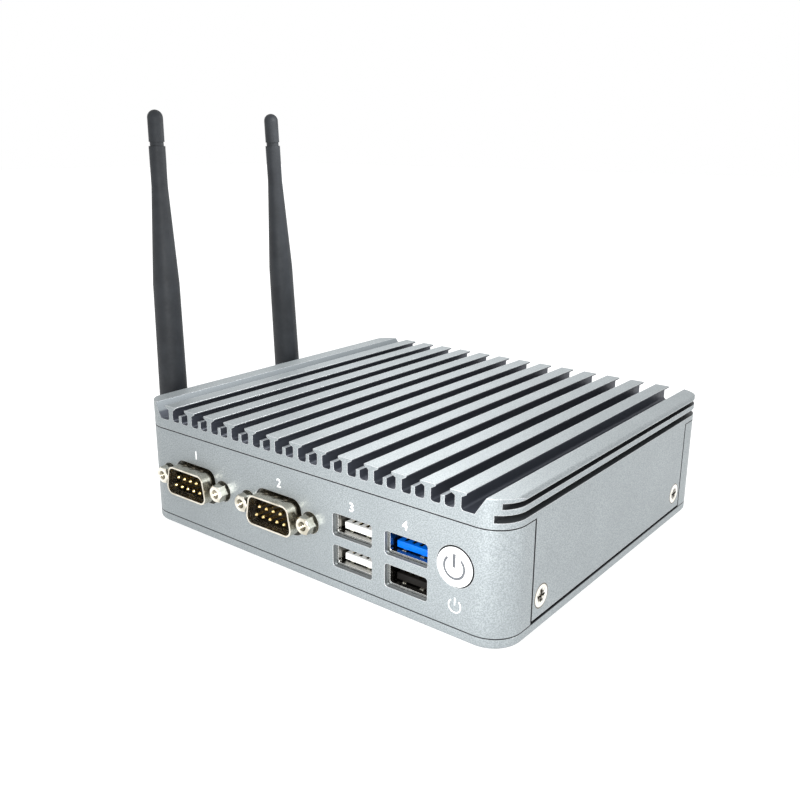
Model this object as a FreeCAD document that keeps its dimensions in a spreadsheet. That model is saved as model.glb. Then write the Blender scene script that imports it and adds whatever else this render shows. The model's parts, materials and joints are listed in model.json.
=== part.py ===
import FreeCAD, Part
import math
import os

import Sketcher

# A fanless industrial computer: a finned aluminium cover over a flat case, with its front
# and rear ports, its mainboard and modules, and two tilting antennas on the left wall.
# Millimetres. X runs along the front face to the right, Y towards the rear and Z up.
# The origin is at the centre of the bottom plate's underside, between its bracket holes;
# the rubber feet reach below it.

SIZES = {
    # case
    "body_width": 136.0,
    "body_depth": 122.0,
    "corner_radius": 8.6,
    "plate_thickness": 3.0,
    "plate_edge_radius": 1.0,
    "plate_seam_radius": 0.3,
    "seam_gap": 0.2,
    "panel_height": 28.9,
    "panel_thickness": 1.5,
    "panel_return": 13.0,
    "post_width": 7.5,
    "wall_thickness": 2.6,
    "wall_end_gap": 0.5,
    "wall_lift": 0.8,
    "inner_radius": 1.5,
    "flange_thickness": 2.0,
    "flange_height": 9.0,
    "flange_end_gap": 2.0,
    "flange_gap": 0.3,
    "foot_height": 1.6,
    "foot_radius": 5.0,
    "foot_inset": 16.0,
    "foot_draft": 0.5,
    "mount_spacing": 75.0,
    "mount_hole_radius": 2.0,
    # cover extrusion
    "cover_base": 3.1,
    "fin_count": 13,
    "fin_pitch": 9.0,
    "fin_height": 4.6,
    "fin_web": 1.9,
    "fin_cap": 4.7,
    "fin_cap_edge": 0.5,
    "fin_cap_slope": 0.8,
    "rib_width": 1.2,
    "rib_height": 2.4,
    "root_radius": 0.8,
    "rail_top_width": 6.3,
    "rail_foot_width": 9.2,
    "rail_edge_radius": 1.0,
    "upper_groove_drop": 1.1,
    "upper_groove_width": 1.5,
    "upper_groove_depth": 3.0,
    "lower_groove_drop": 4.1,
    "lower_groove_width": 1.95,
    "lower_groove_depth": 4.5,
    # case screws
    "side_screw_height": 9.2,
    "side_screw_inset": 17.8,
    "side_head_radius": 3.4,
    "screw_radius": 1.5,
    "screw_clearance": 0.1,
    "screw_head_depth": 1.6,
    "bottom_screw_side_inset": 4.6,
    "bottom_screw_face_inset": 7.8,
    "bottom_head_radius": 2.7,
    "bottom_screw_length": 9.0,
    "recess_width": 0.7,
    "recess_span": 3.4,
    "recess_depth": 0.9,
    # mainboard
    "board_height": 24.0,
    "board_thickness": 1.6,
    "board_side_gap": 8.5,
    "board_end_gap": 3.5,
    "board_notch_side_gap": 1.1,
    "board_notch_rear_gap": 6.8,
    "board_hole_side": 4.5,
    "board_hole_front": 40.0,
    "board_hole_rear": 33.0,
    "standoff_radius": 3.0,
    "pan_head_radius": 2.8,
    "pan_head_height": 1.8,
    "board_screw_reach": 5.2,
    "processor_width": 25.0,
    "processor_depth": 27.0,
    "substrate_thickness": 1.0,
    "die_width": 11.0,
    "die_depth": 13.0,
    "die_thickness": 0.9,
    "processor_y": 6.0,
    "thermal_pad_thickness": 0.5,
    "block_width": 54.0,
    "leg_radius": 3.6,
    "leg_spacing": 44.0,
    # modules under the mainboard
    "memory_card_gap": 1.9,
    "memory_y": -37.0,
    "memory_width": 67.6,
    "memory_depth": 30.0,
    "memory_socket_depth": 6.6,
    "memory_socket_height": 4.0,
    "memory_arm_width": 2.6,
    "memory_arm_length": 24.0,
    "memory_side_gap": 0.2,
    "memory_chips": 4,
    "memory_chip_width": 11.0,
    "memory_chip_depth": 13.0,
    "memory_chip_offset": 3.0,
    "memory_margin": 5.0,
    "module_thickness": 1.2,
    "module_drop": 2.0,
    "module_insert": 4.6,
    "chip_thickness": 1.0,
    "card_width": 22.0,
    "card_socket_width": 21.9,
    "card_socket_depth": 6.6,
    "card_socket_height": 4.2,
    "card_edge_step": 1.0,
    "card_shoulder_gap": 0.4,
    "card_chip_width": 15.4,
    "card_chip_gap": 1.6,
    "card_end_margin": 5.0,
    "card_hole_gap": 0.1,
    "storage_connector_gap": 4.4,
    "storage_y": 15.0,
    "storage_length": 80.0,
    "wireless_x": 20.5,
    "wireless_y": -30.5,
    "wireless_length": 30.0,
    "card_standoff_radius": 2.4,
    "card_screw_radius": 1.0,
    "card_head_radius": 2.2,
    "card_head_height": 0.8,
    "coin_x": 46.0,
    "coin_y": 6.0,
    "coin_radius": 10.0,
    "coin_thickness": 3.2,
    "coin_wall": 1.4,
    "coin_gap": 0.2,
    # nine-pin serial ports
    "serial_1_place": 0.0765,
    "serial_2_place": 0.3444,
    "serial_height": 17.45,
    "serial_reach": 4.2,
    "shell_width": 17.9,
    "shell_height": 9.2,
    "shell_radius": 2.4,
    "shell_angle": 10.0,
    "shell_wall": 0.5,
    "shell_root_radius": 0.8,
    "dimple_count": 3,
    "dimple_pitch": 3.85,
    "dimple_lift": 1.1,
    "dimple_radius": 1.5,
    "dimple_depth": 0.3,
    "flange_plate_width": 30.8,
    "flange_plate_height": 12.5,
    "flange_plate_thickness": 0.8,
    "shell_gap": 0.9,
    "jack_spacing": 24.99,
    "jack_hole_radius": 3.25,
    "jack_hex_radius": 2.75,
    "jack_face_radius": 2.3,
    "jack_length": 4.75,
    "jack_bore_radius": 1.4,
    "jack_bore_depth": 4.6,
    "jack_shank_length": 7.0,
    "insert_depth": 10.0,
    "pin_radius": 0.5,
    "pin_pitch": 2.77,
    "pin_row_gap": 2.84,
    "pin_setback": 0.55,
    "pin_root": 4.0,
    "pin_nose": 0.4,
    "pin_tip_radius": 0.25,
    "plug_step": 0.3,
    "plug_gap": 0.02,
    "video_place": 0.2222,
    "video_pin_pitch": 2.29,
    "video_row_gap": 1.98,
    "video_pin_radius": 0.6,
    "video_setback": 0.4,
    # stacked USB ports
    "usb_left_place": 0.6403,
    "usb_right_place": 0.8878,
    "usb_low": 10.4,
    "usb_high": 19.65,
    "usb_cut_width": 13.8,
    "usb_cut_height": 6.6,
    "usb_cut_radius": 0.9,
    "usb_setback": 2.5,
    "usb_mouth_width": 12.6,
    "usb_mouth_height": 5.2,
    "usb_wall": 0.35,
    "usb_mouth_depth": 12.5,
    "usb_housing_depth": 16.5,
    "tongue_width": 11.2,
    "tongue_thickness": 1.85,
    "tongue_lift": 0.35,
    "tongue_setback": 1.2,
    "contact_count": 4,
    "contact_width": 1.0,
    "contact_pitch": 2.4,
    "contact_depth": 0.3,
    "contact_length": 7.0,
    "contact_setback": 0.9,
    "contact_sink": 0.05,
    # power button
    "button_place": 0.9898,
    "button_height": 19.7,
    "button_hole_radius": 5.6,
    "button_radius": 5.2,
    "button_proud": 0.5,
    "button_edge_radius": 0.25,
    "button_flange_radius": 5.9,
    "button_flange_thickness": 0.8,
    "button_bore_radius": 6.2,
    "button_housing_width": 13.2,
    "button_housing_depth": 7.0,
    "button_stem_radius": 1.5,
    "button_stem_gap": 0.9,
    "switch_width": 6.0,
    "switch_height": 3.6,
    "switch_well_radius": 1.8,
    "switch_well_depth": 1.8,
    "button_board_thickness": 1.2,
    # rear ports
    "lan_left_place": 0.4624,
    "lan_right_place": 0.5341,
    "lan_width": 16.0,
    "lan_height": 13.4,
    "lan_depth": 21.0,
    "lan_mouth_width": 11.8,
    "lan_mouth_height": 7.0,
    "lan_mouth_depth": 14.0,
    "lan_mouth_lift": 3.0,
    "lan_key_width": 6.2,
    "lan_key_height": 1.7,
    "lan_contact_count": 8,
    "lan_contact_pitch": 1.02,
    "lan_contact_width": 0.45,
    "lan_contact_height": 1.0,
    "lan_contact_length": 8.0,
    "port_cut_gap": 0.3,
    "port_flush": 0.2,
    "port_foot_gap": 1.0,
    "hdmi_place": 0.3172,
    "hdmi_width": 14.9,
    "hdmi_height": 5.6,
    "hdmi_bevel": 1.5,
    "hdmi_wall": 0.4,
    "hdmi_depth": 12.0,
    "hdmi_mouth_depth": 9.0,
    "hdmi_foot": 1.5,
    "hdmi_tongue_width": 11.0,
    "hdmi_tongue_thickness": 1.2,
    "hdmi_tongue_length": 7.4,
    "audio_place": 0.0645,
    "audio_width": 6.4,
    "audio_height": 6.0,
    "audio_depth": 12.0,
    "audio_nose_radius": 2.8,
    "audio_bore_radius": 1.8,
    "audio_bore_depth": 11.0,
    "power_place": 0.8208,
    "power_width": 9.0,
    "power_height": 11.0,
    "power_depth": 14.0,
    "power_nose_radius": 4.2,
    "power_bore_radius": 3.2,
    "power_bore_depth": 10.0,
    "power_pin_radius": 1.05,
    "power_pin_length": 9.0,
    # antennas
    "antenna_height": 18.5,
    "antenna_front_y": -36.7,
    "antenna_rear_y": 19.8,
    "antenna_rear_lean": 2.8,
    "antenna_offset": 16.0,
    "barrel_radius": 3.15,
    "barrel_reach": 8.8,
    "barrel_bore_radius": 2.3,
    "barrel_bore_depth": 6.5,
    "socket_radius": 0.65,
    "shoulder_radius": 4.4,
    "shoulder_thickness": 2.0,
    "connector_tail_radius": 2.5,
    "connector_tail": 4.0,
    "nut_radius": 4.6,
    "nut_thickness": 2.2,
    "wall_hole_gap": 0.1,
    "turn_gap": 0.3,
    "turn_fit": 0.08,
    "collar_radius": 4.75,
    "knuckle_radius": 4.4,
    "cheek_inner": 2.2,
    "cheek_outer": 4.4,
    "tongue_half": 1.9,
    "pivot_radius": 1.2,
    "pivot_fit": 0.05,
    "mast_start": 5.2,
    "mast_foot_radius": 4.9,
    "mast_radius": 4.4,
    "mast_tip_radius": 2.65,
    "mast_taper_start": 53.5,
    "mast_taper_end": 85.5,
    "mast_groove_start": 98.2,
    "mast_groove_width": 1.3,
    "mast_groove_radius": 2.2,
    "mast_cap_radius": 2.5,
    "mast_length": 109.5,
    "mast_edge_radius": 0.5,
}

MARGIN = 5.0  # how far a cut runs past the material on its open side
OVERLAP = 0.6  # how far a pad starts inside the material that it grows from
TINY = 1e-6
CLOSE = 1e-4  # how near a coordinate is to the size that it is tested against
SLACK = 0.1  # how far past a shell's outline its root edges are looked for
PLANES = {"X": ("YZ_Plane", 1), "Y": ("XZ_Plane", -1), "Z": ("XY_Plane", 1)}
TURNS = {
    "+X": FreeCAD.Rotation(FreeCAD.Vector(0, 1, 0), 90),
    "-X": FreeCAD.Rotation(FreeCAD.Vector(0, 1, 0), -90),
    "+Y": FreeCAD.Rotation(FreeCAD.Vector(1, 0, 0), -90),
    "-Y": FreeCAD.Rotation(FreeCAD.Vector(1, 0, 0), 90),
    "+Z": FreeCAD.Rotation(),
    "-Z": FreeCAD.Rotation(FreeCAD.Vector(1, 0, 0), 180),
}

doc = FreeCAD.newDocument("FanlessComputer")
sheet = doc.addObject("Spreadsheet::Sheet", "Sizes")


class Size:
    """A value together with the sheet expression that gives it."""

    def __init__(self, value, text):
        self.value = float(value)
        self.text = text

    def __add__(self, other):
        other = as_size(other)
        return Size(self.value + other.value, f"({self.text} + {other.text})")

    def __sub__(self, other):
        other = as_size(other)
        return Size(self.value - other.value, f"({self.text} - {other.text})")

    def __mul__(self, other):
        other = as_size(other)
        return Size(self.value * other.value, f"({self.text} * {other.text})")

    def __truediv__(self, other):
        other = as_size(other)
        return Size(self.value / other.value, f"({self.text} / {other.text})")

    def __radd__(self, other):
        return as_size(other) + self

    def __rsub__(self, other):
        return as_size(other) - self

    def __rmul__(self, other):
        return as_size(other) * self

    def __neg__(self):
        return Size(-self.value, f"(0 - {self.text})")


def as_size(value):
    """Return a Size for a Size or a plain number."""
    if isinstance(value, Size):
        return value
    return Size(value, f"({float(value)!r})")


def sine(angle):
    """Return the sine of an angle in degrees."""
    return Size(math.sin(math.radians(angle.value)), f"sin({angle.text} * 1 deg)")


def cosine(angle):
    """Return the cosine of an angle in degrees."""
    return Size(math.cos(math.radians(angle.value)), f"cos({angle.text} * 1 deg)")


class Dimensions:
    """The driving sizes, each one an aliased cell of the sheet."""

    def __init__(self, sizes):
        for row, (name, value) in enumerate(sizes.items(), start=1):
            sheet.set(f"A{row}", name)
            sheet.set(f"B{row}", str(value))
            sheet.setAlias(f"B{row}", name)
            setattr(self, name, Size(value, f"Sizes.{name}"))
        doc.recompute()


S = Dimensions(SIZES)

half_width = S.body_width / 2
half_depth = S.body_depth / 2
plate_low = as_size(0)
plate_top = plate_low + S.plate_thickness
seam = plate_top + S.panel_height
valley = seam + S.cover_base
crest = valley + S.fin_height
wall_low = plate_top + S.wall_lift
wall_end = half_depth - S.panel_return - S.wall_end_gap
board_low = plate_low + S.board_height
board_top = board_low + S.board_thickness
panel_back = half_depth - S.panel_thickness

pieces = {}
cuts = []


def bind(target, **properties):
    """Tie properties of an object to the sheet; a double underscore stands for a dot."""
    for name, size in properties.items():
        target.setExpression(name.replace("__", "."), as_size(size).text)


def publish(label, shape_object):
    """Name an object as a piece of the computer."""
    shape_object.Label = label
    pieces[label] = shape_object
    return shape_object


class Corner:
    """A corner of an outline; with a centre, the side that arrives at it is an arc."""

    def __init__(self, across, up, centre=None, turn=1):
        self.across = as_size(across)
        self.up = as_size(up)
        self.centre = centre and (as_size(centre[0]), as_size(centre[1]))
        self.turn = turn

    def point(self):
        return FreeCAD.Vector(self.across.value, self.up.value, 0)


class Ring:
    """A full circle in a sketch."""

    def __init__(self, across, up, radius):
        self.across = as_size(across)
        self.up = as_size(up)
        self.radius = as_size(radius)


def tie(sketch, geometry, position, across=None, up=None):
    """Hold a sketch point at sizes from the sheet."""
    for kind, size in (("DistanceX", across), ("DistanceY", up)):
        if size is None:
            continue
        index = sketch.addConstraint(
            Sketcher.Constraint(kind, -1, 1, geometry, position, size.value)
        )
        sketch.setExpression(f"Constraints[{index}]", size.text)


def draw_ring(sketch, ring):
    """Add a circle to a sketch."""
    centre = FreeCAD.Vector(ring.across.value, ring.up.value, 0)
    circle = Part.Circle(centre, FreeCAD.Vector(0, 0, 1), ring.radius.value)
    geometry = sketch.addGeometry(circle, False)
    tie(sketch, geometry, 3, ring.across, ring.up)
    index = sketch.addConstraint(Sketcher.Constraint("Radius", geometry, ring.radius.value))
    sketch.setExpression(f"Constraints[{index}]", ring.radius.text)


def arc_between(start, end, corner):
    """Return the arc from start to end round a corner's centre."""
    centre = FreeCAD.Vector(corner.centre[0].value, corner.centre[1].value, 0)
    first, last = (start, end) if corner.turn > 0 else (end, start)
    low = math.atan2(first.y - centre.y, first.x - centre.x)
    high = math.atan2(last.y - centre.y, last.x - centre.x)
    if high <= low:
        high += 2 * math.pi
    circle = Part.Circle(centre, FreeCAD.Vector(0, 0, 1), (first - centre).Length)
    return Part.ArcOfCircle(circle, low, high)


def draw_outline(sketch, outline):
    """Add a closed outline to a sketch, with each corner tied to the sheet."""
    ends = []
    for number, corner in enumerate(outline):
        start, end = outline[number - 1].point(), corner.point()
        if corner.centre is None:
            geometry = sketch.addGeometry(Part.LineSegment(start, end), False)
            ends.append((geometry, 1, 2))
            continue
        geometry = sketch.addGeometry(arc_between(start, end, corner), False)
        ends.append((geometry, 1, 2) if corner.turn > 0 else (geometry, 2, 1))
        chord = end - start
        if abs(chord.y) >= abs(chord.x):
            tie(sketch, geometry, 3, across=corner.centre[0])
        else:
            tie(sketch, geometry, 3, up=corner.centre[1])
    for number, corner in enumerate(outline):
        geometry, _, last = ends[number]
        following, first, _ = ends[(number + 1) % len(ends)]
        joint = Sketcher.Constraint("Coincident", geometry, last, following, first)
        sketch.addConstraint(joint)
        tie(sketch, geometry, last, corner.across, corner.up)


def mirrored(corners):
    """Return a run of corners mirrored across the upright axis, in reverse order."""
    result = []
    for number in reversed(range(len(corners))):
        corner = corners[number]
        arriving = corners[number + 1] if number + 1 < len(corners) else None
        centre = arriving.centre if arriving else None
        flipped = centre and (-centre[0], centre[1])
        turn = arriving.turn if arriving else 1
        result.append(Corner(-corner.across, corner.up, flipped, turn))
    return result


def rectangle(left, low, right, high):
    """Return the outline of a rectangle."""
    return [Corner(left, low), Corner(right, low), Corner(right, high), Corner(left, high)]


def rounded_rectangle(left, low, right, high, radius):
    """Return the outline of a rectangle with rounded corners."""
    left, low, right, high = (as_size(value) for value in (left, low, right, high))
    return [
        Corner(right - radius, low),
        Corner(right, low + radius, (right - radius, low + radius)),
        Corner(right, high - radius),
        Corner(right - radius, high, (right - radius, high - radius)),
        Corner(left + radius, high),
        Corner(left, high - radius, (left + radius, high - radius)),
        Corner(left, low + radius),
        Corner(left + radius, low, (left + radius, low + radius)),
    ]


def shell_outline(across, up, grow):
    """Return the D outline of a connector shell, wide side down, grown on every side."""
    radius = S.shell_radius + grow
    rise = S.shell_height / 2 - S.shell_radius
    lean = sine(S.shell_angle) / cosine(S.shell_angle) * rise
    middle = S.shell_width / 2 - S.shell_radius
    wide, narrow = middle, middle - lean * 2
    side_x = cosine(S.shell_angle) * radius
    side_z = sine(S.shell_angle) * radius
    low, high = up - rise, up + rise
    right = [
        Corner(across + wide, low - radius),
        Corner(across + wide + side_x, low + side_z, (across + wide, low)),
        Corner(across + narrow + side_x, high + side_z),
        Corner(across + narrow, high + radius, (across + narrow, high)),
    ]
    left = [
        Corner(across - narrow, high + radius),
        Corner(across - narrow - side_x, high + side_z, (across - narrow, high)),
        Corner(across - wide - side_x, low + side_z),
        Corner(across - wide, low - radius, (across - wide, low)),
    ]
    return right + left


class Body:
    """A PartDesign body whose features run along the axes of the part."""

    def __init__(self, label):
        self.body = doc.addObject("PartDesign::Body", label)
        self.body.AllowCompound = True
        publish(label, self.body)

    def attach(self, kind, axis, across, up, along):
        """Add a feature on the plane across an axis, at a place on it and along the axis."""
        role, way = PLANES[axis]
        planes = self.body.Origin.OriginFeatures
        plane = next(feature for feature in planes if feature.Role == role)
        feature = self.body.newObject(kind, kind.split("::")[1])
        feature.AttachmentSupport = [(plane, "")]
        feature.MapMode = "FlatFace"
        bind(
            feature,
            AttachmentOffset__Base__x=across,
            AttachmentOffset__Base__y=up,
            AttachmentOffset__Base__z=as_size(along) * way,
        )
        return feature

    def sketch(self, axis, start, outlines):
        """Make a sketch across an axis, at a distance along it."""
        sketch = self.attach("Sketcher::SketchObject", axis, 0, 0, start)
        for outline in outlines:
            if isinstance(outline, Ring):
                draw_ring(sketch, outline)
            else:
                draw_outline(sketch, outline)
        return sketch

    def pad(self, axis, start, length, *outlines):
        """Add material from a start, along the positive axis."""
        profile = self.sketch(axis, start, outlines)
        pad = self.body.newObject("PartDesign::Pad", "Pad")
        pad.Profile = profile
        pad.Reversed = PLANES[axis][1] < 0
        bind(pad, Length=length)
        profile.Visibility = False
        return pad

    def pocket(self, axis, start, length, *outlines):
        """Cut material from a start, along the positive axis."""
        profile = self.sketch(axis, start, outlines)
        pocket = self.body.newObject("PartDesign::Pocket", "Pocket")
        pocket.Profile = profile
        pocket.Reversed = PLANES[axis][1] > 0
        bind(pocket, Length=length)
        cuts.append(pocket)
        return pocket

    def countersink(self, axis, across, up, start, length, first, last):
        """Cut a cone that runs along the positive axis, from its first to its last radius."""
        way = PLANES[axis][1]
        if way < 0:
            start, first, last = start + length, last, first
        cone = self.attach("PartDesign::SubtractiveCone", axis, across, up, start)
        bind(cone, Height=length, Radius1=first, Radius2=last)
        cuts.append(cone)

    def dimple(self, x, y, z, radius):
        """Cut a ball with its centre at a point."""
        ball = self.attach("PartDesign::SubtractiveSphere", "Z", x, y, z)
        bind(ball, Radius=radius)
        cuts.append(ball)

    def repeat(self, feature, pitch, count):
        """Repeat a feature along +X."""
        pattern = self.body.newObject("PartDesign::LinearPattern", "Row")
        pattern.Originals = [feature]
        pattern.Direction = (feature.Profile[0], ["H_Axis"])
        bind(pattern, Length=pitch * (count - 1), Occurrences=count)
        self.body.Tip = pattern
        return pattern

    def turn(self, axis, outline):
        """Add a revolved outline, drawn in the XZ plane, round X or Z."""
        profile = self.sketch("Y", 0, [outline])
        solid = self.body.newObject("PartDesign::Revolution", "Turned")
        solid.Profile = profile
        solid.ReferenceAxis = (profile, ["H_Axis" if axis == "X" else "V_Axis"])
        solid.Angle = 360
        return solid

    def round(self, radius, wanted):
        """Round the edges of the last feature that a test picks."""
        doc.recompute()
        base = self.body.Tip
        edges = base.Shape.Edges
        names = [f"Edge{number}" for number, edge in enumerate(edges, 1) if wanted(edge)]
        if not names:
            raise RuntimeError(f"{self.body.Label}: no edge to round")
        fillet = self.body.newObject("PartDesign::Fillet", "Rounding")
        fillet.Base = (base, names)
        bind(fillet, Radius=radius)
        return fillet


def box(left, front, low, right, rear, high):
    """Return a Part box between two corners."""
    left, front, low = as_size(left), as_size(front), as_size(low)
    solid = doc.addObject("Part::Box", "Block")
    bind(
        solid,
        Placement__Base__x=left,
        Placement__Base__y=front,
        Placement__Base__z=low,
        Length=as_size(right) - left,
        Width=as_size(rear) - front,
        Height=as_size(high) - low,
    )
    return solid


def put(solid, x, y, z, way):
    """Stand a Part primitive at a point, pointing one way along an axis."""
    solid.Placement = FreeCAD.Placement(FreeCAD.Vector(), TURNS[way])
    bind(solid, Placement__Base__x=x, Placement__Base__y=y, Placement__Base__z=z)
    return solid


def rod(x, y, z, way, radius, length):
    """Return a cylinder from a point, one way along an axis."""
    solid = doc.addObject("Part::Cylinder", "Rod")
    bind(solid, Radius=radius, Height=length)
    return put(solid, x, y, z, way)


def cone(x, y, z, way, first, last, length):
    """Return a cone from a point, one way along an axis."""
    solid = doc.addObject("Part::Cone", "Cone")
    bind(solid, Radius1=first, Radius2=last, Height=length)
    return put(solid, x, y, z, way)


def hexagon(x, y, z, way, radius, length):
    """Return a hexagonal bar from a point, one way along an axis."""
    solid = doc.addObject("Part::Prism", "Hexagon")
    solid.Polygon = 6
    bind(solid, Circumradius=radius, Height=length)
    return put(solid, x, y, z, way)


def fuse(*solids):
    """Return several solids joined into one."""
    joined = doc.addObject("Part::MultiFuse", "Joined")
    joined.Shapes = list(solids)
    joined.Refine = True
    return joined


def cut(base, *tools):
    """Return a solid with others taken out of it."""
    tool = tools[0] if len(tools) == 1 else fuse(*tools)
    result = doc.addObject("Part::Cut", "Trimmed")
    result.Base = base
    result.Tool = tool
    result.Refine = True
    return result


def common(first, second):
    """Return what two solids have in common."""
    result = doc.addObject("Part::Common", "Shared")
    result.Base = first
    result.Tool = second
    return result


def group(label, solids):
    """Publish several separate solids as one node."""
    together = doc.addObject("Part::Compound", label)
    together.Links = list(solids)
    return publish(label, together)


def flush_screw(x, y, z, way, head_radius, length):
    """Return a countersunk screw with a cross recess, its head face at the point."""
    step = {"X": (1, 0, 0), "Y": (0, 1, 0), "Z": (0, 0, 1)}[way[1]]
    sign = 1 if way[0] == "+" else -1
    depth = S.screw_head_depth
    neck = [as_size(value) + depth * (sign * part) for value, part in zip((x, y, z), step)]
    head = cone(x, y, z, way, head_radius, S.screw_radius, depth)
    shank = rod(*neck, way, S.screw_radius, length - depth)
    reach, half = S.recess_span / 2, S.recess_width / 2
    slots = []
    for first, second in ((reach, half), (half, reach)):
        spans = {
            "X": (S.recess_depth, first, second),
            "Y": (first, S.recess_depth, second),
            "Z": (first, second, S.recess_depth),
        }[way[1]]
        centre = (as_size(x), as_size(y), as_size(z))
        low = [value - span for value, span in zip(centre, spans)]
        high = [value + span for value, span in zip(centre, spans)]
        slots.append(box(*low, *high))
    return cut(fuse(head, shank), *slots)


def near(value, size):
    """Say whether a coordinate is at a size."""
    return abs(value - as_size(size).value) < CLOSE


# ---- the cover extrusion: one section along Y, with fins, rails and side walls ----


def cover_section():
    """Return the section of the cover without its fins."""
    inside = half_width - S.wall_thickness
    inner = S.inner_radius
    edge = S.rail_edge_radius
    run = [
        Corner(inside - inner, seam),
        Corner(inside, seam - inner, (inside - inner, seam - inner), -1),
        Corner(inside, wall_low),
        Corner(half_width, wall_low),
    ]
    grooves = (
        (S.lower_groove_drop, S.lower_groove_width, S.lower_groove_depth),
        (S.upper_groove_drop, S.upper_groove_width, S.upper_groove_depth),
    )
    for drop, width, depth in grooves:
        high = crest - drop
        run += [
            Corner(half_width, high - width),
            Corner(half_width - depth, high - width),
            Corner(half_width - depth, high),
            Corner(half_width, high),
        ]
    run += [
        Corner(half_width, crest - edge),
        Corner(half_width - edge, crest, (half_width - edge, crest - edge)),
        Corner(half_width - S.rail_top_width, crest),
        Corner(half_width - S.rail_foot_width, valley),
    ]
    return run + mirrored(run)


def fin_section(across, web, rise):
    """Return the section of a plain fin from below the valley floor, with root fillets."""
    half, radius = web / 2, S.root_radius
    foot = half + radius
    return [
        Corner(across - foot, valley - OVERLAP),
        Corner(across + foot, valley - OVERLAP),
        Corner(across + foot, valley),
        Corner(across + half, valley + radius, (across + foot, valley + radius), -1),
        Corner(across + half, valley + rise),
        Corner(across - half, valley + rise),
        Corner(across - half, valley + radius),
        Corner(across - foot, valley, (across - foot, valley + radius), -1),
    ]


def tee_section(across):
    """Return the section of a T-shaped fin."""
    half, radius = S.fin_web / 2, S.root_radius
    foot, cap = half + radius, S.fin_cap / 2
    tip = crest - S.fin_cap_edge
    return [
        Corner(across - foot, valley - OVERLAP),
        Corner(across + foot, valley - OVERLAP),
        Corner(across + foot, valley),
        Corner(across + half, valley + radius, (across + foot, valley + radius), -1),
        Corner(across + half, tip - S.fin_cap_slope),
        Corner(across + cap, tip),
        Corner(across + cap, crest),
        Corner(across - cap, crest),
        Corner(across - cap, tip),
        Corner(across - half, tip - S.fin_cap_slope),
        Corner(across - half, valley + radius),
        Corner(across - foot, valley, (across - foot, valley + radius), -1),
    ]


def case_outline():
    """Return the plan of the case, with its rounded corners."""
    return rounded_rectangle(
        -half_width, -half_depth, half_width, half_depth, S.corner_radius
    )


def side_screw_points():
    """Return the four side screw places as side, y."""
    reach = half_depth - S.side_screw_inset
    return [(side, reach * end) for side in (-1, 1) for end in (-1, 1)]


def bottom_screw_points():
    """Return the four bottom screw places as x, y."""
    across = half_width - S.bottom_screw_side_inset
    along = half_depth - S.bottom_screw_face_inset
    return [(across * side, along * end) for side in (-1, 1) for end in (-1, 1)]


def antenna_points():
    """Return the y places of the two antennas, front one first."""
    return S.antenna_front_y, S.antenna_rear_y


def build_cover():
    """Make the finned cover with its side walls."""
    cover = Body("top_cover")
    cover.pad("Y", -half_depth, S.body_depth, cover_section())
    first = S.fin_pitch * (S.fin_count - 1) / -2
    fin = cover.pad("Y", -half_depth, S.body_depth, tee_section(first))
    cover.repeat(fin, S.fin_pitch, S.fin_count)
    between = first + S.fin_pitch / 2
    rib = cover.pad(
        "Y", -half_depth, S.body_depth, fin_section(between, S.rib_width, S.rib_height)
    )
    cover.repeat(rib, S.fin_pitch, S.fin_count - 1)
    blank = rectangle(
        -half_width - MARGIN, -half_depth - MARGIN, half_width + MARGIN, half_depth + MARGIN
    )
    cover.pocket("Z", plate_low, crest + MARGIN, blank, case_outline())
    ends = [
        rectangle(-half_depth - MARGIN, plate_low, -wall_end, seam),
        rectangle(wall_end, plate_low, half_depth + MARGIN, seam),
    ]
    cover.pocket("X", -half_width - MARGIN, S.body_width + 2 * MARGIN, *ends)
    height = plate_low + S.side_screw_height
    hole = S.screw_radius + S.screw_clearance
    rings = [Ring(y, height, hole) for side, y in side_screw_points() if side > 0]
    cover.pocket("X", -half_width - MARGIN, S.body_width + 2 * MARGIN, *rings)
    for side, y in side_screw_points():
        depth = S.screw_head_depth
        if side > 0:
            span = (half_width - depth, depth, S.screw_radius, S.side_head_radius)
        else:
            span = (-half_width, depth, S.side_head_radius, S.screw_radius)
        cover.countersink("X", y, height, *span)
    bore = S.barrel_radius + S.wall_hole_gap
    height = plate_low + S.antenna_height
    rings = [Ring(y, height, bore) for y in antenna_points()]
    cover.pocket("X", -half_width - MARGIN, S.wall_thickness + 2 * MARGIN, *rings)


def panel_plan(side):
    """Return the plan of an end panel; side -1 is the front and 1 the rear."""
    radius = S.corner_radius
    face = half_depth * side
    inward = -side
    turn = -side
    returned = face + S.panel_return * inward
    bend = face + radius * inward
    inner = face + S.panel_thickness * inward
    post = half_width - S.post_width
    return [
        Corner(-half_width, bend),
        Corner(-half_width + radius, face, (-half_width + radius, bend), turn),
        Corner(half_width - radius, face),
        Corner(half_width, bend, (half_width - radius, bend), turn),
        Corner(half_width, returned),
        Corner(post, returned),
        Corner(post, inner),
        Corner(-post, inner),
        Corner(-post, returned),
        Corner(-half_width, returned),
    ]


def start_panel(label, side):
    """Make a blank end panel with its threaded corner posts."""
    panel = Body(label)
    panel.pad("Z", plate_top, S.panel_height - S.seam_gap, panel_plan(side))
    holes = [
        Ring(x, y, S.screw_radius) for x, y in bottom_screw_points() if y.value * side > 0
    ]
    panel.pocket("Z", plate_top, S.bottom_screw_length - S.plate_thickness, *holes)
    return panel


def jack_rings(across, up, radius):
    """Return the two circles at a connector's jackscrews."""
    reach = S.jack_spacing / 2
    return [Ring(across - reach, up, radius), Ring(across + reach, up, radius)]


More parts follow.
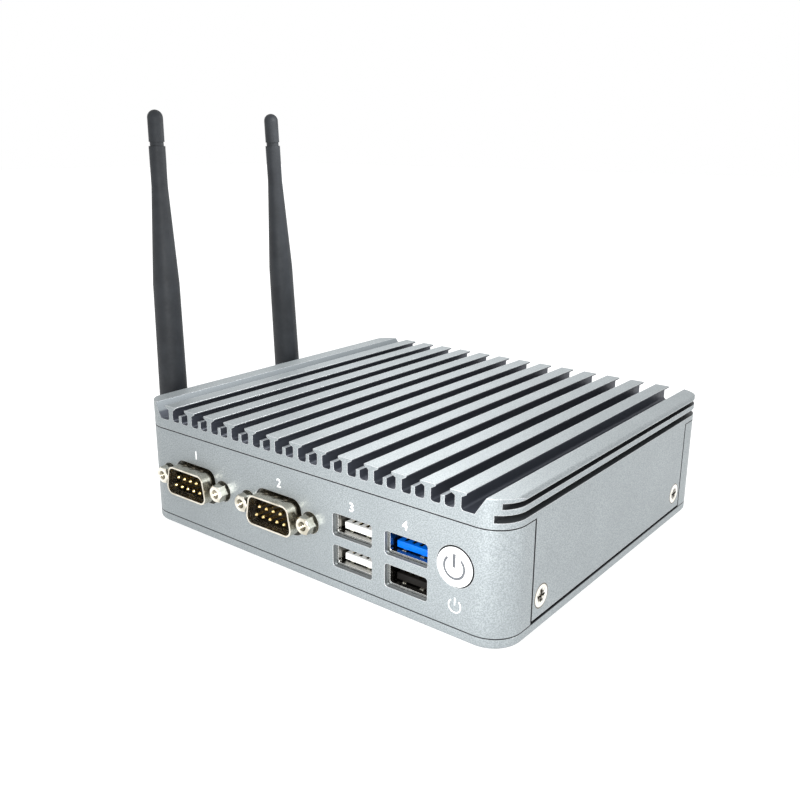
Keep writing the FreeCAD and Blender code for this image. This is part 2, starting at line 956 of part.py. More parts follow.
def spread_out(ports):
    """Return the x places of a row of ports between the corner posts, left one first.

    Each port has its width and the part of the free width that lies to its left.
    """
    free = S.body_width - 2 * S.post_width
    for width, place in ports:
        free = free - width
    edge = S.post_width - half_width
    places = []
    for width, place in ports:
        places.append(edge + free * place + width / 2)
        edge = edge + width
    return places


usb_width = S.usb_mouth_width + 2 * S.usb_wall
serial_1_x, serial_2_x, usb_left_x, usb_right_x, button_x = spread_out(
    [
        (S.flange_plate_width, S.serial_1_place),
        (S.flange_plate_width, S.serial_2_place),
        (usb_width, S.usb_left_place),
        (usb_width, S.usb_right_place),
        (S.button_housing_width, S.button_place),
    ]
)
audio_x, video_x, hdmi_x, lan_left_x, lan_right_x, power_x = spread_out(
    [
        (S.audio_width, S.audio_place),
        (S.flange_plate_width, S.video_place),
        (S.hdmi_width, S.hdmi_place),
        (S.lan_width, S.lan_left_place),
        (S.lan_width, S.lan_right_place),
        (S.power_width, S.power_place),
    ]
)
serial_places = (serial_1_x, serial_2_x)
usb_places = (usb_left_x, usb_right_x)
lan_places = (lan_left_x, lan_right_x)


def build_front_panel():
    """Make the front panel with its serial, USB and button cut-outs."""
    panel = start_panel("front_panel", -1)
    start, length = -half_depth - MARGIN, S.panel_thickness + 2 * MARGIN
    height = plate_low + S.serial_height
    panel.pocket(
        "Y", start, length, *[shell_outline(x, height, S.shell_gap) for x in serial_places]
    )
    rings = []
    for x in serial_places:
        rings += jack_rings(x, height, S.jack_hole_radius)
    panel.pocket("Y", start, length, *rings)
    windows = []
    for x in usb_places:
        for level in (S.usb_low, S.usb_high):
            middle = plate_low + level
            windows.append(
                rounded_rectangle(
                    x - S.usb_cut_width / 2,
                    middle - S.usb_cut_height / 2,
                    x + S.usb_cut_width / 2,
                    middle + S.usb_cut_height / 2,
                    S.usb_cut_radius,
                )
            )
    windows.append(Ring(button_x, plate_low + S.button_height, S.button_hole_radius))
    panel.pocket("Y", start, length, *windows)


def build_rear_panel():
    """Make the rear panel with its network, video, sound and power cut-outs."""
    panel = start_panel("rear_panel", 1)
    start, length = panel_back - MARGIN, S.panel_thickness + 2 * MARGIN
    height = plate_low + S.serial_height
    gap = S.port_cut_gap
    panel.pocket("Y", start, length, shell_outline(video_x, height, S.shell_gap))
    panel.pocket("Y", start, length, *jack_rings(video_x, height, S.jack_hole_radius))
    windows = []
    for x in lan_places:
        windows.append(
            rectangle(
                x - S.lan_width / 2 - gap,
                board_low - S.lan_height - gap,
                x + S.lan_width / 2 + gap,
                board_low + gap,
            )
        )
    windows.append(
        rectangle(
            hdmi_x - S.hdmi_width / 2 - gap,
            board_low - S.hdmi_foot - S.hdmi_height - gap,
            hdmi_x + S.hdmi_width / 2 + gap,
            board_low - S.hdmi_foot + gap,
        )
    )
    windows.append(
        Ring(audio_x, board_low - S.audio_height / 2, S.audio_nose_radius + gap)
    )
    windows.append(
        Ring(power_x, board_low - S.power_height / 2, S.power_nose_radius + gap)
    )
    panel.pocket("Y", start, length, *windows)


def build_bottom_plate():
    """Make the bottom plate with its side flanges, mounting holes and screw holes."""
    plate = Body("bottom_plate")
    plate.pad("Z", plate_low, S.plate_thickness, case_outline())
    plate.round(
        S.plate_edge_radius,
        lambda edge: all(near(vertex.Z, plate_low) for vertex in edge.Vertexes),
    )
    plate.round(
        S.plate_seam_radius,
        lambda edge: all(near(vertex.Z, plate_top) for vertex in edge.Vertexes),
    )
    outer = half_width - S.wall_thickness - S.flange_gap
    inner = outer - S.flange_thickness
    reach = wall_end - S.flange_end_gap
    flanges = [
        rectangle(inner, -reach, outer, reach),
        rectangle(-outer, -reach, -inner, reach),
    ]
    plate.pad("Z", plate_top - OVERLAP, S.flange_height + OVERLAP, *flanges)
    height = plate_low + S.side_screw_height
    rings = [Ring(y, height, S.screw_radius) for side, y in side_screw_points() if side > 0]
    plate.pocket("X", -half_width, S.body_width, *rings)
    half = S.mount_spacing / 2
    holes = [
        Ring(half * side, half * end, S.mount_hole_radius)
        for side in (-1, 1)
        for end in (-1, 1)
    ]
    hole = S.screw_radius + S.screw_clearance
    holes += [Ring(x, y, hole) for x, y in bottom_screw_points()]
    plate.pocket("Z", plate_low - MARGIN, S.plate_thickness + 2 * MARGIN, *holes)
    for x, y in bottom_screw_points():
        plate.countersink(
            "Z", x, y, plate_low, S.screw_head_depth, S.bottom_head_radius, S.screw_radius
        )


def build_feet():
    """Make the four rubber feet."""
    across = half_width - S.foot_inset
    along = half_depth - S.foot_inset
    feet = []
    for side in (-1, 1):
        for end in (-1, 1):
            feet.append(
                cone(
                    across * side,
                    along * end,
                    plate_low,
                    "-Z",
                    S.foot_radius,
                    S.foot_radius - S.foot_draft,
                    S.foot_height,
                )
            )
    group("rubber_feet", feet)


def build_case_screws():
    """Make the side screws and the bottom screws."""
    height = plate_low + S.side_screw_height
    length = S.wall_thickness + S.flange_gap + S.flange_thickness
    screws = []
    for side, y in side_screw_points():
        way = "-X" if side > 0 else "+X"
        screws.append(
            flush_screw(half_width * side, y, height, way, S.side_head_radius, length)
        )
    group("side_screws", screws)
    screws = [
        flush_screw(x, y, plate_low, "+Z", S.bottom_head_radius, S.bottom_screw_length)
        for x, y in bottom_screw_points()
    ]
    group("bottom_screws", screws)


# ---- the mainboard and what it carries on its upper side ----


def board_holes():
    """Return the four mounting hole places of the mainboard."""
    across = half_width - S.board_side_gap - S.board_hole_side
    return [
        (across * side, along)
        for side in (-1, 1)
        for along in (-S.board_hole_front, S.board_hole_rear)
    ]


def leg_places():
    """Return the four leg places of the heat block."""
    half = S.leg_spacing / 2
    return [
        (half * side, S.processor_y + half * end) for side in (-1, 1) for end in (-1, 1)
    ]


def build_mainboard():
    """Make the mainboard, which hangs under the cover with its ports below it."""
    board = Body("mainboard")
    side = half_width - S.board_side_gap
    end = half_depth - S.board_end_gap
    notch_side = button_x - S.button_housing_width / 2 - S.board_notch_side_gap
    housing_end = S.panel_thickness + S.button_housing_depth + S.button_board_thickness
    notch_end = -half_depth + housing_end + S.board_notch_rear_gap
    board.pad(
        "Z",
        board_low,
        S.board_thickness,
        [
            Corner(-side, -end),
            Corner(notch_side, -end),
            Corner(notch_side, notch_end),
            Corner(side, notch_end),
            Corner(side, end),
            Corner(-side, end),
        ],
    )
    hole = S.screw_radius + S.screw_clearance
    rings = [Ring(x, y, hole) for x, y in board_holes() + leg_places()]
    board.pocket("Z", board_low - MARGIN, S.board_thickness + 2 * MARGIN, *rings)


def build_standoffs():
    """Make the standoffs that the mainboard hangs from, and all screws through it."""
    length = seam - board_top
    standoffs = []
    screws = []
    for x, y in board_holes():
        post = hexagon(x, y, board_top, "+Z", S.standoff_radius, length)
        standoffs.append(cut(post, rod(x, y, board_top, "+Z", S.screw_radius, length)))
    group("board_standoffs", standoffs)
    for x, y in board_holes() + leg_places():
        head = rod(x, y, board_low, "-Z", S.pan_head_radius, S.pan_head_height)
        reach = S.board_screw_reach
        screws.append(fuse(head, rod(x, y, board_low, "+Z", S.screw_radius, reach)))
    group("board_screws", screws)


def spaced(centre, pitch, count):
    """Return a row of evenly spaced places round a centre, first one first."""
    first = as_size(centre) - pitch * ((count - 1) / 2)
    return [first + pitch * step for step in range(count)]


def centred_box(x, y, low, width, depth, height):
    """Return a box round a centre line, standing on a height."""
    return box(
        x - width / 2, y - depth / 2, low, x + width / 2, y + depth / 2, as_size(low) + height
    )


def build_processor():
    """Make the processor, its thermal pad and the block that takes its heat to the cover."""
    middle = as_size(0)
    y = S.processor_y
    substrate = centred_box(
        middle, y, board_top, S.processor_width, S.processor_depth, S.substrate_thickness
    )
    die_low = board_top + S.substrate_thickness
    die = centred_box(middle, y, die_low, S.die_width, S.die_depth, S.die_thickness)
    publish("processor", fuse(substrate, die))
    pad_low = die_low + S.die_thickness
    pad = centred_box(middle, y, pad_low, S.die_width, S.die_depth, S.thermal_pad_thickness)
    publish("thermal_pad", pad)
    block_low = pad_low + S.thermal_pad_thickness
    half = S.block_width / 2
    block = Body("heat_block")
    block.pad("Z", block_low, seam - block_low, rectangle(-half, y - half, half, y + half))
    legs = [Ring(x, along, S.leg_radius) for x, along in leg_places()]
    block.pad("Z", board_top, block_low - board_top + OVERLAP, *legs)
    holes = [Ring(x, along, S.screw_radius) for x, along in leg_places()]
    block.pocket("Z", board_top - MARGIN, S.board_screw_reach + MARGIN, *holes)


# ---- the modules on the lower side of the mainboard ----


def build_memory():
    """Make the memory socket with its two arms, and the memory module."""
    y = S.memory_y
    slot = S.memory_width / 2 + S.memory_side_gap
    half = slot + S.memory_arm_width
    x = S.wireless_x - S.memory_card_gap - half
    low = board_low - S.memory_socket_height
    back = y + S.memory_socket_depth
    tip = back + S.memory_arm_length
    socket = Body("memory_socket")
    socket.pad(
        "Z",
        low,
        S.memory_socket_height,
        [
            Corner(x - half, y),
            Corner(x + half, y),
            Corner(x + half, tip),
            Corner(x + slot, tip),
            Corner(x + slot, back),
            Corner(x - slot, back),
            Corner(x - slot, tip),
            Corner(x - half, tip),
        ],
    )
    top = board_low - S.module_drop
    module_low = top - S.module_thickness
    front = back - S.module_insert
    socket.pocket(
        "Z",
        module_low,
        S.module_thickness,
        rectangle(x - S.memory_width / 2, front, x + S.memory_width / 2, back + MARGIN),
    )
    sheet_body = box(
        x - S.memory_width / 2,
        front,
        module_low,
        x + S.memory_width / 2,
        front + S.memory_depth,
        top,
    )
    parts = [sheet_body]
    pitch = (S.memory_width - 2 * S.memory_margin) / S.memory_chips
    along = front + S.memory_depth / 2 + S.memory_chip_offset
    for centre in spaced(x, pitch, SIZES["memory_chips"]):
        parts.append(
            centred_box(
                centre,
                along,
                module_low - S.chip_thickness,
                S.memory_chip_width,
                S.memory_chip_depth,
                S.chip_thickness,
            )
        )
    publish("memory_module", fuse(*parts))


def build_card(name, x, y, length, chips):
    """Make an edge card in its socket, pointing along +X, and return its far end."""
    half = S.card_socket_width / 2
    low = board_low - S.card_socket_height
    back = x + S.card_socket_depth
    socket = Body(f"{name}_socket")
    socket.pad("Z", low, S.card_socket_height, rectangle(x, y - half, back, y + half))
    top = board_low - S.module_drop
    card_low = top - S.module_thickness
    start = back - S.module_insert
    wide = S.card_width / 2 - S.card_edge_step
    shoulder = back + S.card_shoulder_gap
    socket.pocket(
        "Z",
        card_low,
        S.module_thickness,
        rectangle(start, y - wide, back + MARGIN, y + wide),
    )
    card = Body(f"{name}_card")
    end = start + length
    card.pad(
        "Z",
        card_low,
        S.module_thickness,
        [
            Corner(start, y - wide),
            Corner(shoulder, y - wide),
            Corner(shoulder, y - S.card_width / 2),
            Corner(end, y - S.card_width / 2),
            Corner(end, y + S.card_width / 2),
            Corner(shoulder, y + S.card_width / 2),
            Corner(shoulder, y + wide),
            Corner(start, y + wide),
        ],
    )
    pitch = (end - S.card_end_margin - shoulder) / chips
    half_chip = S.card_chip_width / 2
    outlines = []
    for number in range(chips):
        left = shoulder + S.card_chip_gap + pitch * number
        right = left + pitch - S.card_chip_gap
        outlines.append(rectangle(left, y - half_chip, right, y + half_chip))
    card.pad("Z", card_low - S.chip_thickness, S.chip_thickness, *outlines)
    hole = S.card_screw_radius + S.card_hole_gap
    card.pocket(
        "Z", card_low - MARGIN, S.module_thickness + 2 * MARGIN, Ring(end, y, hole)
    )
    return end


def build_modules():
    """Make the storage card, the wireless card, their fixings and the coin cell."""
    connector_end = -half_width + S.wall_thickness + S.connector_tail
    storage_x = connector_end + S.storage_connector_gap
    ends = [
        (build_card("storage", storage_x, S.storage_y, S.storage_length, 4), S.storage_y),
        (
            build_card("wireless", S.wireless_x, S.wireless_y, S.wireless_length, 1),
            S.wireless_y,
        ),
    ]
    card_low = board_low - S.module_drop - S.module_thickness
    posts = []
    screws = []
    for x, y in ends:
        post = rod(x, y, board_low, "-Z", S.card_standoff_radius, S.module_drop)
        posts.append(cut(post, rod(x, y, board_low, "-Z", S.card_screw_radius, S.module_drop)))
        head = rod(x, y, card_low, "-Z", S.card_head_radius, S.card_head_height)
        shank_length = S.module_thickness + S.module_drop
        shank = rod(x, y, card_low, "+Z", S.card_screw_radius, shank_length)
        screws.append(fuse(head, shank))
    group("card_standoffs", posts)
    group("card_screws", screws)
    x, y = S.coin_x, S.coin_y
    radius = S.coin_radius + S.coin_wall
    height = S.coin_thickness + S.coin_wall
    cup = rod(x, y, board_low, "-Z", radius, height)
    hollow = rod(x, y, board_low - S.coin_wall, "-Z", S.coin_radius + S.coin_gap, height)
    publish("coin_cell_holder", cut(cup, hollow))
    cell = rod(x, y, board_low - S.coin_wall, "-Z", S.coin_radius, S.coin_thickness)
    publish("coin_cell", cell)


# ---- connectors in D-shaped shells ----


def pin_places(across, up, rows, pitch, row_gap):
    """Return pin circles' centres: rows are pin counts from the top row down."""
    places = []
    top = up + row_gap * (len(rows) - 1) / 2
    for number, (count, shift) in enumerate(rows):
        level = top - row_gap * number
        places += [(place, level) for place in spaced(across + pitch * shift, pitch, count)]
    return places


def build_shell_port(prefix, x, side, pins, pin_radius, male):
    """Make a D-shell port on a panel; side -1 faces the front and 1 the rear."""
    up = plate_low + S.serial_height
    inner = half_depth - S.panel_thickness
    tip = half_depth + S.serial_reach
    back = inner - S.flange_plate_thickness
    rear = back - S.insert_depth

    def span(near_face, far_face):
        """Return the start and length along +Y of a stretch between two depths."""
        low, high = (far_face, near_face) if side < 0 else (near_face, far_face)
        return low * side, as_size(far_face) - near_face

    half, tall = S.flange_plate_width / 2, S.flange_plate_height / 2
    shell = Body(f"{prefix}_shell")
    plate = rounded_rectangle(x - half, up - tall, x + half, up + tall, S.shell_radius / 2)
    shell.pad("Y", *span(back, inner), plate)
    shell.pad("Y", *span(back, tip), shell_outline(x, up, as_size(0)))
    shell.round(
        S.shell_root_radius,
        lambda edge: all(near(vertex.Y * side, inner) for vertex in edge.Vertexes)
        and edge.BoundBox.XLength < S.shell_width.value
        and abs(edge.BoundBox.Center.x - x.value) < S.shell_width.value / 2 + SLACK
        and edge.BoundBox.ZMax < up.value + S.shell_height.value / 2 + SLACK
        and edge.BoundBox.ZMin > up.value - S.shell_height.value / 2 - SLACK,
    )
    shell.pocket("Y", *span(back - MARGIN, tip + MARGIN), shell_outline(x, up, -S.shell_wall))
    hole = S.screw_radius + S.screw_clearance
    shell.pocket("Y", *span(back - MARGIN, inner + MARGIN), *jack_rings(x, up, hole))
    if male:
        along = (half_depth + S.dimple_lift) * side
        lift = S.shell_height / 2 + S.dimple_radius - S.dimple_depth
        for across in spaced(x, S.dimple_pitch, SIZES["dimple_count"]):
            shell.dimple(across, along, up + lift, S.dimple_radius)
            shell.dimple(across, along, up - lift, S.dimple_radius)

    insert = Body(f"{prefix}_insert")
    block = rectangle(x - half, up - tall, x + half, board_low)
    insert.pad("Y", *span(rear, back), block)
    plug_face = inner + S.plug_step if male else tip - S.video_setback
    insert.pad("Y", *span(rear, plug_face), shell_outline(x, up, -S.shell_wall - S.plug_gap))
    bores = jack_rings(x, up, S.screw_radius)
    insert.pocket("Y", *span(rear - MARGIN, back + MARGIN), *bores)
    rings = [Ring(across, level, pin_radius) for across, level in pins]
    pin_foot = back - S.pin_root if male else plug_face - S.pin_root
    insert.pocket("Y", *span(pin_foot, plug_face + MARGIN), *rings)
    if not male:
        return
    pin_tip = tip - S.pin_setback
    outward = "-Y" if side < 0 else "+Y"
    neck = pin_tip - S.pin_nose
    contacts = []
    for across, level in pins:
        stem = rod(across, pin_foot * side, level, outward, pin_radius, neck - pin_foot)
        nose = cone(
            across, neck * side, level, outward, pin_radius, S.pin_tip_radius, S.pin_nose
        )
        contacts.append(fuse(stem, nose))
    group(f"{prefix}_pins", contacts)


def build_jackscrews():
    """Make the chamfered hexagonal jackscrews of the three D-shell ports."""
    up = plate_low + S.serial_height
    inner = half_depth - S.panel_thickness
    screws = []
    ports = [(x, -1) for x in serial_places] + [(video_x, 1)]
    for x, side in ports:
        outward = "-Y" if side < 0 else "+Y"
        inward = "+Y" if side < 0 else "-Y"
        for end in (-1, 1):
            across = x + S.jack_spacing * (end / 2)
            seat = inner * side
            tip = (inner + S.jack_length) * side
            bar = common(
                hexagon(across, seat, up, outward, S.jack_hex_radius, S.jack_length),
                cone(
                    across,
                    seat,
                    up,
                    outward,
                    S.jack_face_radius + S.jack_length,
                    S.jack_face_radius,
                    S.jack_length,
                ),
            )
            shank = rod(across, seat, up, inward, S.screw_radius, S.jack_shank_length)
            bore = rod(across, tip, up, inward, S.jack_bore_radius, S.jack_bore_depth)
            screws.append(cut(fuse(bar, shank), bore))
    group("jackscrews", screws)


def build_serial_ports():
    """Make the two nine-pin serial ports and the fifteen-way video port."""
    up = plate_low + S.serial_height
    for number, x in enumerate(serial_places, start=1):
        pins = pin_places(x, up, ((4, 0), (5, 0)), S.pin_pitch, S.pin_row_gap)
        build_shell_port(f"serial_{number}", x, -1, pins, S.pin_radius, True)
    rows = ((5, 0), (5, 0.25), (5, 0))
    pins = pin_places(video_x, up, rows, S.video_pin_pitch, S.video_row_gap)
    build_shell_port("video", video_x, 1, pins, S.video_pin_radius, False)
    build_jackscrews()


# ---- stacked USB ports ----


def tongue_body(label, x, levels):
    """Make USB tongues with their contact grooves at the given levels."""
    rim = -half_depth + S.usb_setback
    front = rim + S.tongue_setback
    back = rim + S.usb_mouth_depth
    half = S.tongue_width / 2
    tongue = Body(label)
    plates, grooves = [], []
    for level in levels:
        low = plate_low + level - S.usb_mouth_height / 2 + S.tongue_lift
        high = low + S.tongue_thickness
        plates.append(rectangle(x - half, low, x + half, high))
        for centre in contact_places(x):
            wide = S.contact_width / 2
            grooves.append(
                rectangle(
                    centre - wide, high - S.contact_depth, centre + wide, high + S.contact_depth
                )
            )
    tongue.pad("Y", front, back - front, *plates)
    tongue.pocket("Y", front + S.contact_setback, S.contact_length, *grooves)


def contact_places(x):
    """Return the contact centres of a USB tongue."""
    return spaced(x, S.contact_pitch, SIZES["contact_count"])


def build_usb():
    """Make the two USB stacks: shells, tongues and contacts."""
    rim = -half_depth + S.usb_setback
    front = rim + S.tongue_setback + S.contact_setback
    contacts = []
    for name, x in zip(("left", "right"), usb_places):
        shell = Body(f"usb_{name}_shell")
        half = S.usb_mouth_width / 2
        low = plate_low + S.usb_low - S.usb_mouth_height / 2 - S.usb_wall
        outer = rectangle(x - half - S.usb_wall, low, x + half + S.usb_wall, board_low)
        shell.pad("Y", rim, S.usb_housing_depth, outer)
        mouths = []
        for level in (S.usb_low, S.usb_high):
            middle = plate_low + level
            tall = S.usb_mouth_height / 2
            mouths.append(rectangle(x - half, middle - tall, x + half, middle + tall))
            top = middle - tall + S.tongue_lift + S.tongue_thickness
            for centre in contact_places(x):
                wide = S.contact_width / 2
                contacts.append(
                    box(
                        centre - wide,
                        front,
                        top - S.contact_depth,
                        centre + wide,
                        front + S.contact_length,
                        top - S.contact_sink,
                    )
                )
        shell.pocket("Y", rim - MARGIN, S.usb_mouth_depth + MARGIN, *mouths)
    left, right = usb_places
    tongue_body("usb_left_tongues", left, (S.usb_low, S.usb_high))
    tongue_body("usb_right_upper_tongue", right, (S.usb_high,))
    tongue_body("usb_right_lower_tongue", right, (S.usb_low,))
    group("usb_contacts", contacts)


# ---- the power button ----


def build_button():
    """Make the power button, its housing, its switch and the small board behind it."""
    x, z = button_x, plate_low + S.button_height
    inner = -half_depth + S.panel_thickness
    board_face = inner + S.button_housing_depth
    switch_face = board_face - S.switch_height
    well_floor = switch_face + S.switch_well_depth
    cap_face = -half_depth - S.button_proud
    flange_back = inner + S.button_flange_thickness
    button = Body("power_button")
    button.pad("Y", cap_face, inner - cap_face, Ring(x, z, S.button_radius))
    button.round(S.button_edge_radius, lambda edge: near(edge.BoundBox.Center.y, cap_face))
    button.pad(
        "Y", inner, S.button_flange_thickness, Ring(x, z, S.button_flange_radius)
    )
    stem_end = well_floor - S.button_stem_gap
    button.pad(
        "Y", flange_back, stem_end - flange_back, Ring(x, z, S.button_stem_radius)
    )
    half = S.button_housing_width / 2
    housing = Body("button_housing")
    housing.pad(
        "Y",
        inner,
        S.button_housing_depth,
        rectangle(x - half, z - half, x + half, z + half),
    )
    housing.pocket(
        "Y",
        inner - MARGIN,
        S.button_housing_depth + 2 * MARGIN,
        Ring(x, z, S.button_bore_radius),
    )
    wide = S.switch_width / 2
    switch = Body("button_switch")
    switch.pad(
        "Y", switch_face, S.switch_height, rectangle(x - wide, z - wide, x + wide, z + wide)
    )
    switch.pocket(
        "Y",
        switch_face - MARGIN,
        S.switch_well_depth + MARGIN,
        Ring(x, z, S.switch_well_radius),
    )
    board = box(
        x - half,
        board_face,
        z - half,
        x + half,
        board_face + S.button_board_thickness,
        z + half,
    )
    publish("button_board", board)


# ---- the rear ports ----


def build_lan():
    """Make the two network ports and their spring contacts."""
    face = half_depth - S.port_flush
    rear = face - S.lan_depth
    low = board_low - S.lan_height
    mouth_low = low + S.lan_mouth_lift
    mouth_high = mouth_low + S.lan_mouth_height
    housings, contacts = [], []
    for x in lan_places:
        wide, mouth, key = S.lan_width / 2, S.lan_mouth_width / 2, S.lan_key_width / 2
        block = box(x - wide, rear, low, x + wide, face, board_low)
        depth = face - S.lan_mouth_depth
        front = face + MARGIN
        hollow = box(x - mouth, depth, mouth_low, x + mouth, front, mouth_high)
        notch = box(
            x - key, depth, mouth_low, x + key, front, mouth_high + S.lan_key_height
        )
        housings.append(cut(block, fuse(hollow, notch)))
        for centre in spaced(x, S.lan_contact_pitch, SIZES["lan_contact_count"]):
            contacts.append(
                box(
                    centre - S.lan_contact_width / 2,
                    depth,
                    mouth_low,
                    centre + S.lan_contact_width / 2,
                    depth + S.lan_contact_length,
                    mouth_low + S.lan_contact_height,
                )
            )
    group("lan_ports", housings)
    group("lan_contacts", contacts)


def hdmi_outline(grow):
    """Return the outline of the HDMI port, with its bevelled lower side up."""
    half = S.hdmi_width / 2 + grow
    high = board_low - S.hdmi_foot + grow
    low = high - S.hdmi_height - grow * 2
    x, bevel = hdmi_x, S.hdmi_bevel
    return [
        Corner(x - half, low),
        Corner(x + half, low),
        Corner(x + half, high - bevel),
        Corner(x + half - bevel, high),
        Corner(x - half + bevel, high),
        Corner(x - half, high - bevel),
    ]


def build_hdmi():
    """Make the HDMI port."""
    face = half_depth - S.port_flush
    rear = face - S.hdmi_depth
    floor = face - S.hdmi_mouth_depth
    shell = Body("hdmi_shell")
    shell.pad("Y", rear, S.hdmi_depth, hdmi_outline(as_size(0)))
    shell.pocket("Y", floor, S.hdmi_mouth_depth + MARGIN, hdmi_outline(-S.hdmi_wall))
    half = S.hdmi_width / 2
    foot = rectangle(
        hdmi_x - half + S.hdmi_bevel,
        board_low - S.hdmi_foot - S.hdmi_wall,
        hdmi_x + half - S.hdmi_bevel,
        board_low,
    )
    shell.pad("Y", rear, panel_back - S.port_foot_gap - rear, foot)
    middle = board_low - S.hdmi_foot - S.hdmi_height / 2
    wide, thick = S.hdmi_tongue_width / 2, S.hdmi_tongue_thickness / 2
    tongue = box(
        hdmi_x - wide,
        floor,
        middle - thick,
        hdmi_x + wide,
        floor + S.hdmi_tongue_length,
        middle + thick,
    )
    publish("hdmi_tongue", tongue)


def round_jack(label, x, width, height, depth, nose, bore, bore_depth):
    """Make a round jack: a block under the board with a nose in the rear panel."""
    face = half_depth - S.port_flush
    inner = panel_back - S.port_cut_gap
    rear = face - depth
    middle = board_low - height / 2
    jack = Body(label)
    jack.pad(
        "Y",
        rear,
        inner - rear,
        rectangle(x - width / 2, middle - height / 2, x + width / 2, board_low),
    )
    jack.pad("Y", inner - OVERLAP, face - inner + OVERLAP, Ring(x, middle, nose))
    jack.pocket("Y", face - bore_depth, bore_depth + MARGIN, Ring(x, middle, bore))
    return face - bore_depth, middle


def build_round_jacks():
    """Make the audio jack and the power jack with its centre pin."""
    round_jack(
        "audio_jack",
        audio_x,
        S.audio_width,
        S.audio_height,
        S.audio_depth,
        S.audio_nose_radius,
        S.audio_bore_radius,
        S.audio_bore_depth,
    )
    floor, middle = round_jack(
        "power_jack",
        power_x,
        S.power_width,
        S.power_height,
        S.power_depth,
        S.power_nose_radius,
        S.power_bore_radius,
        S.power_bore_depth,
    )
    pin = rod(power_x, floor, middle, "+Y", S.power_pin_radius, S.power_pin_length)
    publish("power_jack_pin", pin)


# ---- the antennas ----


def build_antenna(name, y, lean):
    """Make one antenna: connector, turning base, pivot pin and tilting mast."""
    z = plate_low + S.antenna_height
    wall = -half_width
    inside = wall + S.wall_thickness
    barrel = S.barrel_radius
    tip = wall - S.barrel_reach
    connector = cut(
        fuse(
            rod(inside, y, z, "-X", barrel, S.wall_thickness + S.barrel_reach),
            hexagon(inside, y, z, "+X", S.shoulder_radius, S.shoulder_thickness),
            rod(inside, y, z, "+X", S.connector_tail_radius, S.connector_tail),
        ),
        cut(
            rod(tip, y, z, "+X", S.barrel_bore_radius, S.barrel_bore_depth),
            rod(tip, y, z, "+X", S.socket_radius, S.barrel_bore_depth),
        ),
    )
    publish(f"{name}_connector", connector)

    hinge = wall - S.antenna_offset
    base = Body(f"{name}_base")
    collar_start = S.antenna_offset - S.nut_thickness - S.turn_gap
    collar_end = S.knuckle_radius + S.turn_gap
    base.turn(
        "X",
        [
            Corner(collar_end, 0),
            Corner(S.antenna_offset - S.barrel_reach - S.turn_gap, 0),
            Corner(S.antenna_offset - S.barrel_reach - S.turn_gap, barrel + S.turn_fit),
            Corner(collar_start, barrel + S.turn_fit),
            Corner(collar_start, S.collar_radius - S.mast_edge_radius),
            Corner(collar_start - S.mast_edge_radius, S.collar_radius),
            Corner(collar_end, S.collar_radius),
        ],
    )
    radius = S.knuckle_radius
    cheek = [
        Corner(collar_end + OVERLAP, -radius),
        Corner(collar_end + OVERLAP, radius),
        Corner(0, radius),
        Corner(-radius, 0, (0, 0)),
        Corner(0, -radius, (0, 0)),
    ]
    thick = S.cheek_outer - S.cheek_inner
    base.pad("Y", S.cheek_inner, thick, cheek)
    base.pad("Y", -S.cheek_outer, thick, cheek)
    hole = Ring(0, 0, S.pivot_radius)
    base.pocket("Y", -S.cheek_outer - MARGIN, 2 * S.cheek_outer + 2 * MARGIN, hole)

    pin = rod(0, -S.cheek_outer, 0, "+Y", S.pivot_radius, S.cheek_outer * 2)
    pin_holder = doc.addObject("Part::Compound", f"{name}_pivot")
    pin_holder.Links = [pin]
    publish(f"{name}_pivot", pin_holder)

    mast = Body(f"{name}_mast")
    groove = S.mast_groove_start
    cap = groove + S.mast_groove_width
    cap_radius = S.mast_cap_radius
    mast.turn(
        "Z",
        [
            Corner(0, S.mast_start),
            Corner(S.mast_foot_radius - S.mast_edge_radius, S.mast_start),
            Corner(S.mast_foot_radius, S.mast_start + S.mast_edge_radius),
            Corner(S.mast_radius, S.mast_taper_start),
            Corner(S.mast_tip_radius, S.mast_taper_end),
            Corner(S.mast_tip_radius, groove),
            Corner(S.mast_groove_radius, groove),
            Corner(S.mast_groove_radius, cap),
            Corner(cap_radius, cap),
            Corner(cap_radius, S.mast_length - cap_radius),
            Corner(0, S.mast_length, (0, S.mast_length - cap_radius)),
        ],
    )
    half = S.tongue_half
    leaf = [
        Corner(-radius, 0),
        Corner(radius, 0, (0, 0)),
        Corner(radius, S.mast_start + S.mast_edge_radius),
        Corner(-radius, S.mast_start + S.mast_edge_radius),
    ]
    mast.pad("Y", -half, half * 2, leaf)
    hole = Ring(0, 0, S.pivot_radius + S.pivot_fit)
    mast.pocket("Y", -half - MARGIN, 2 * half + 2 * MARGIN, hole)
    for moving in (base.body, pin_holder, mast.body):
        moving.Placement = FreeCAD.Placement(
            FreeCAD.Vector(), FreeCAD.Rotation(FreeCAD.Vector(1, 0, 0), 0)
        )
        bind(
            moving,
            Placement__Base__x=hinge,
            Placement__Base__y=y,
            Placement__Base__z=z,
            Placement__Rotation__Angle=lean,
        )


def build_antennas():
    """Make both antennas and the nuts that hold their connectors to the wall."""
    front, rear = antenna_points()
    build_antenna("front_antenna", front, as_size(0))
    build_antenna("rear_antenna", rear, S.antenna_rear_lean)
    z = plate_low + S.antenna_height
    nuts = []
    for y in (front, rear):
        nut = hexagon(-half_width, y, z, "-X", S.nut_radius, S.nut_thickness)
        bore = rod(-half_width, y, z, "-X", S.barrel_radius, S.nut_thickness)
        nuts.append(cut(nut, bore))
    group("antenna_nuts", nuts)


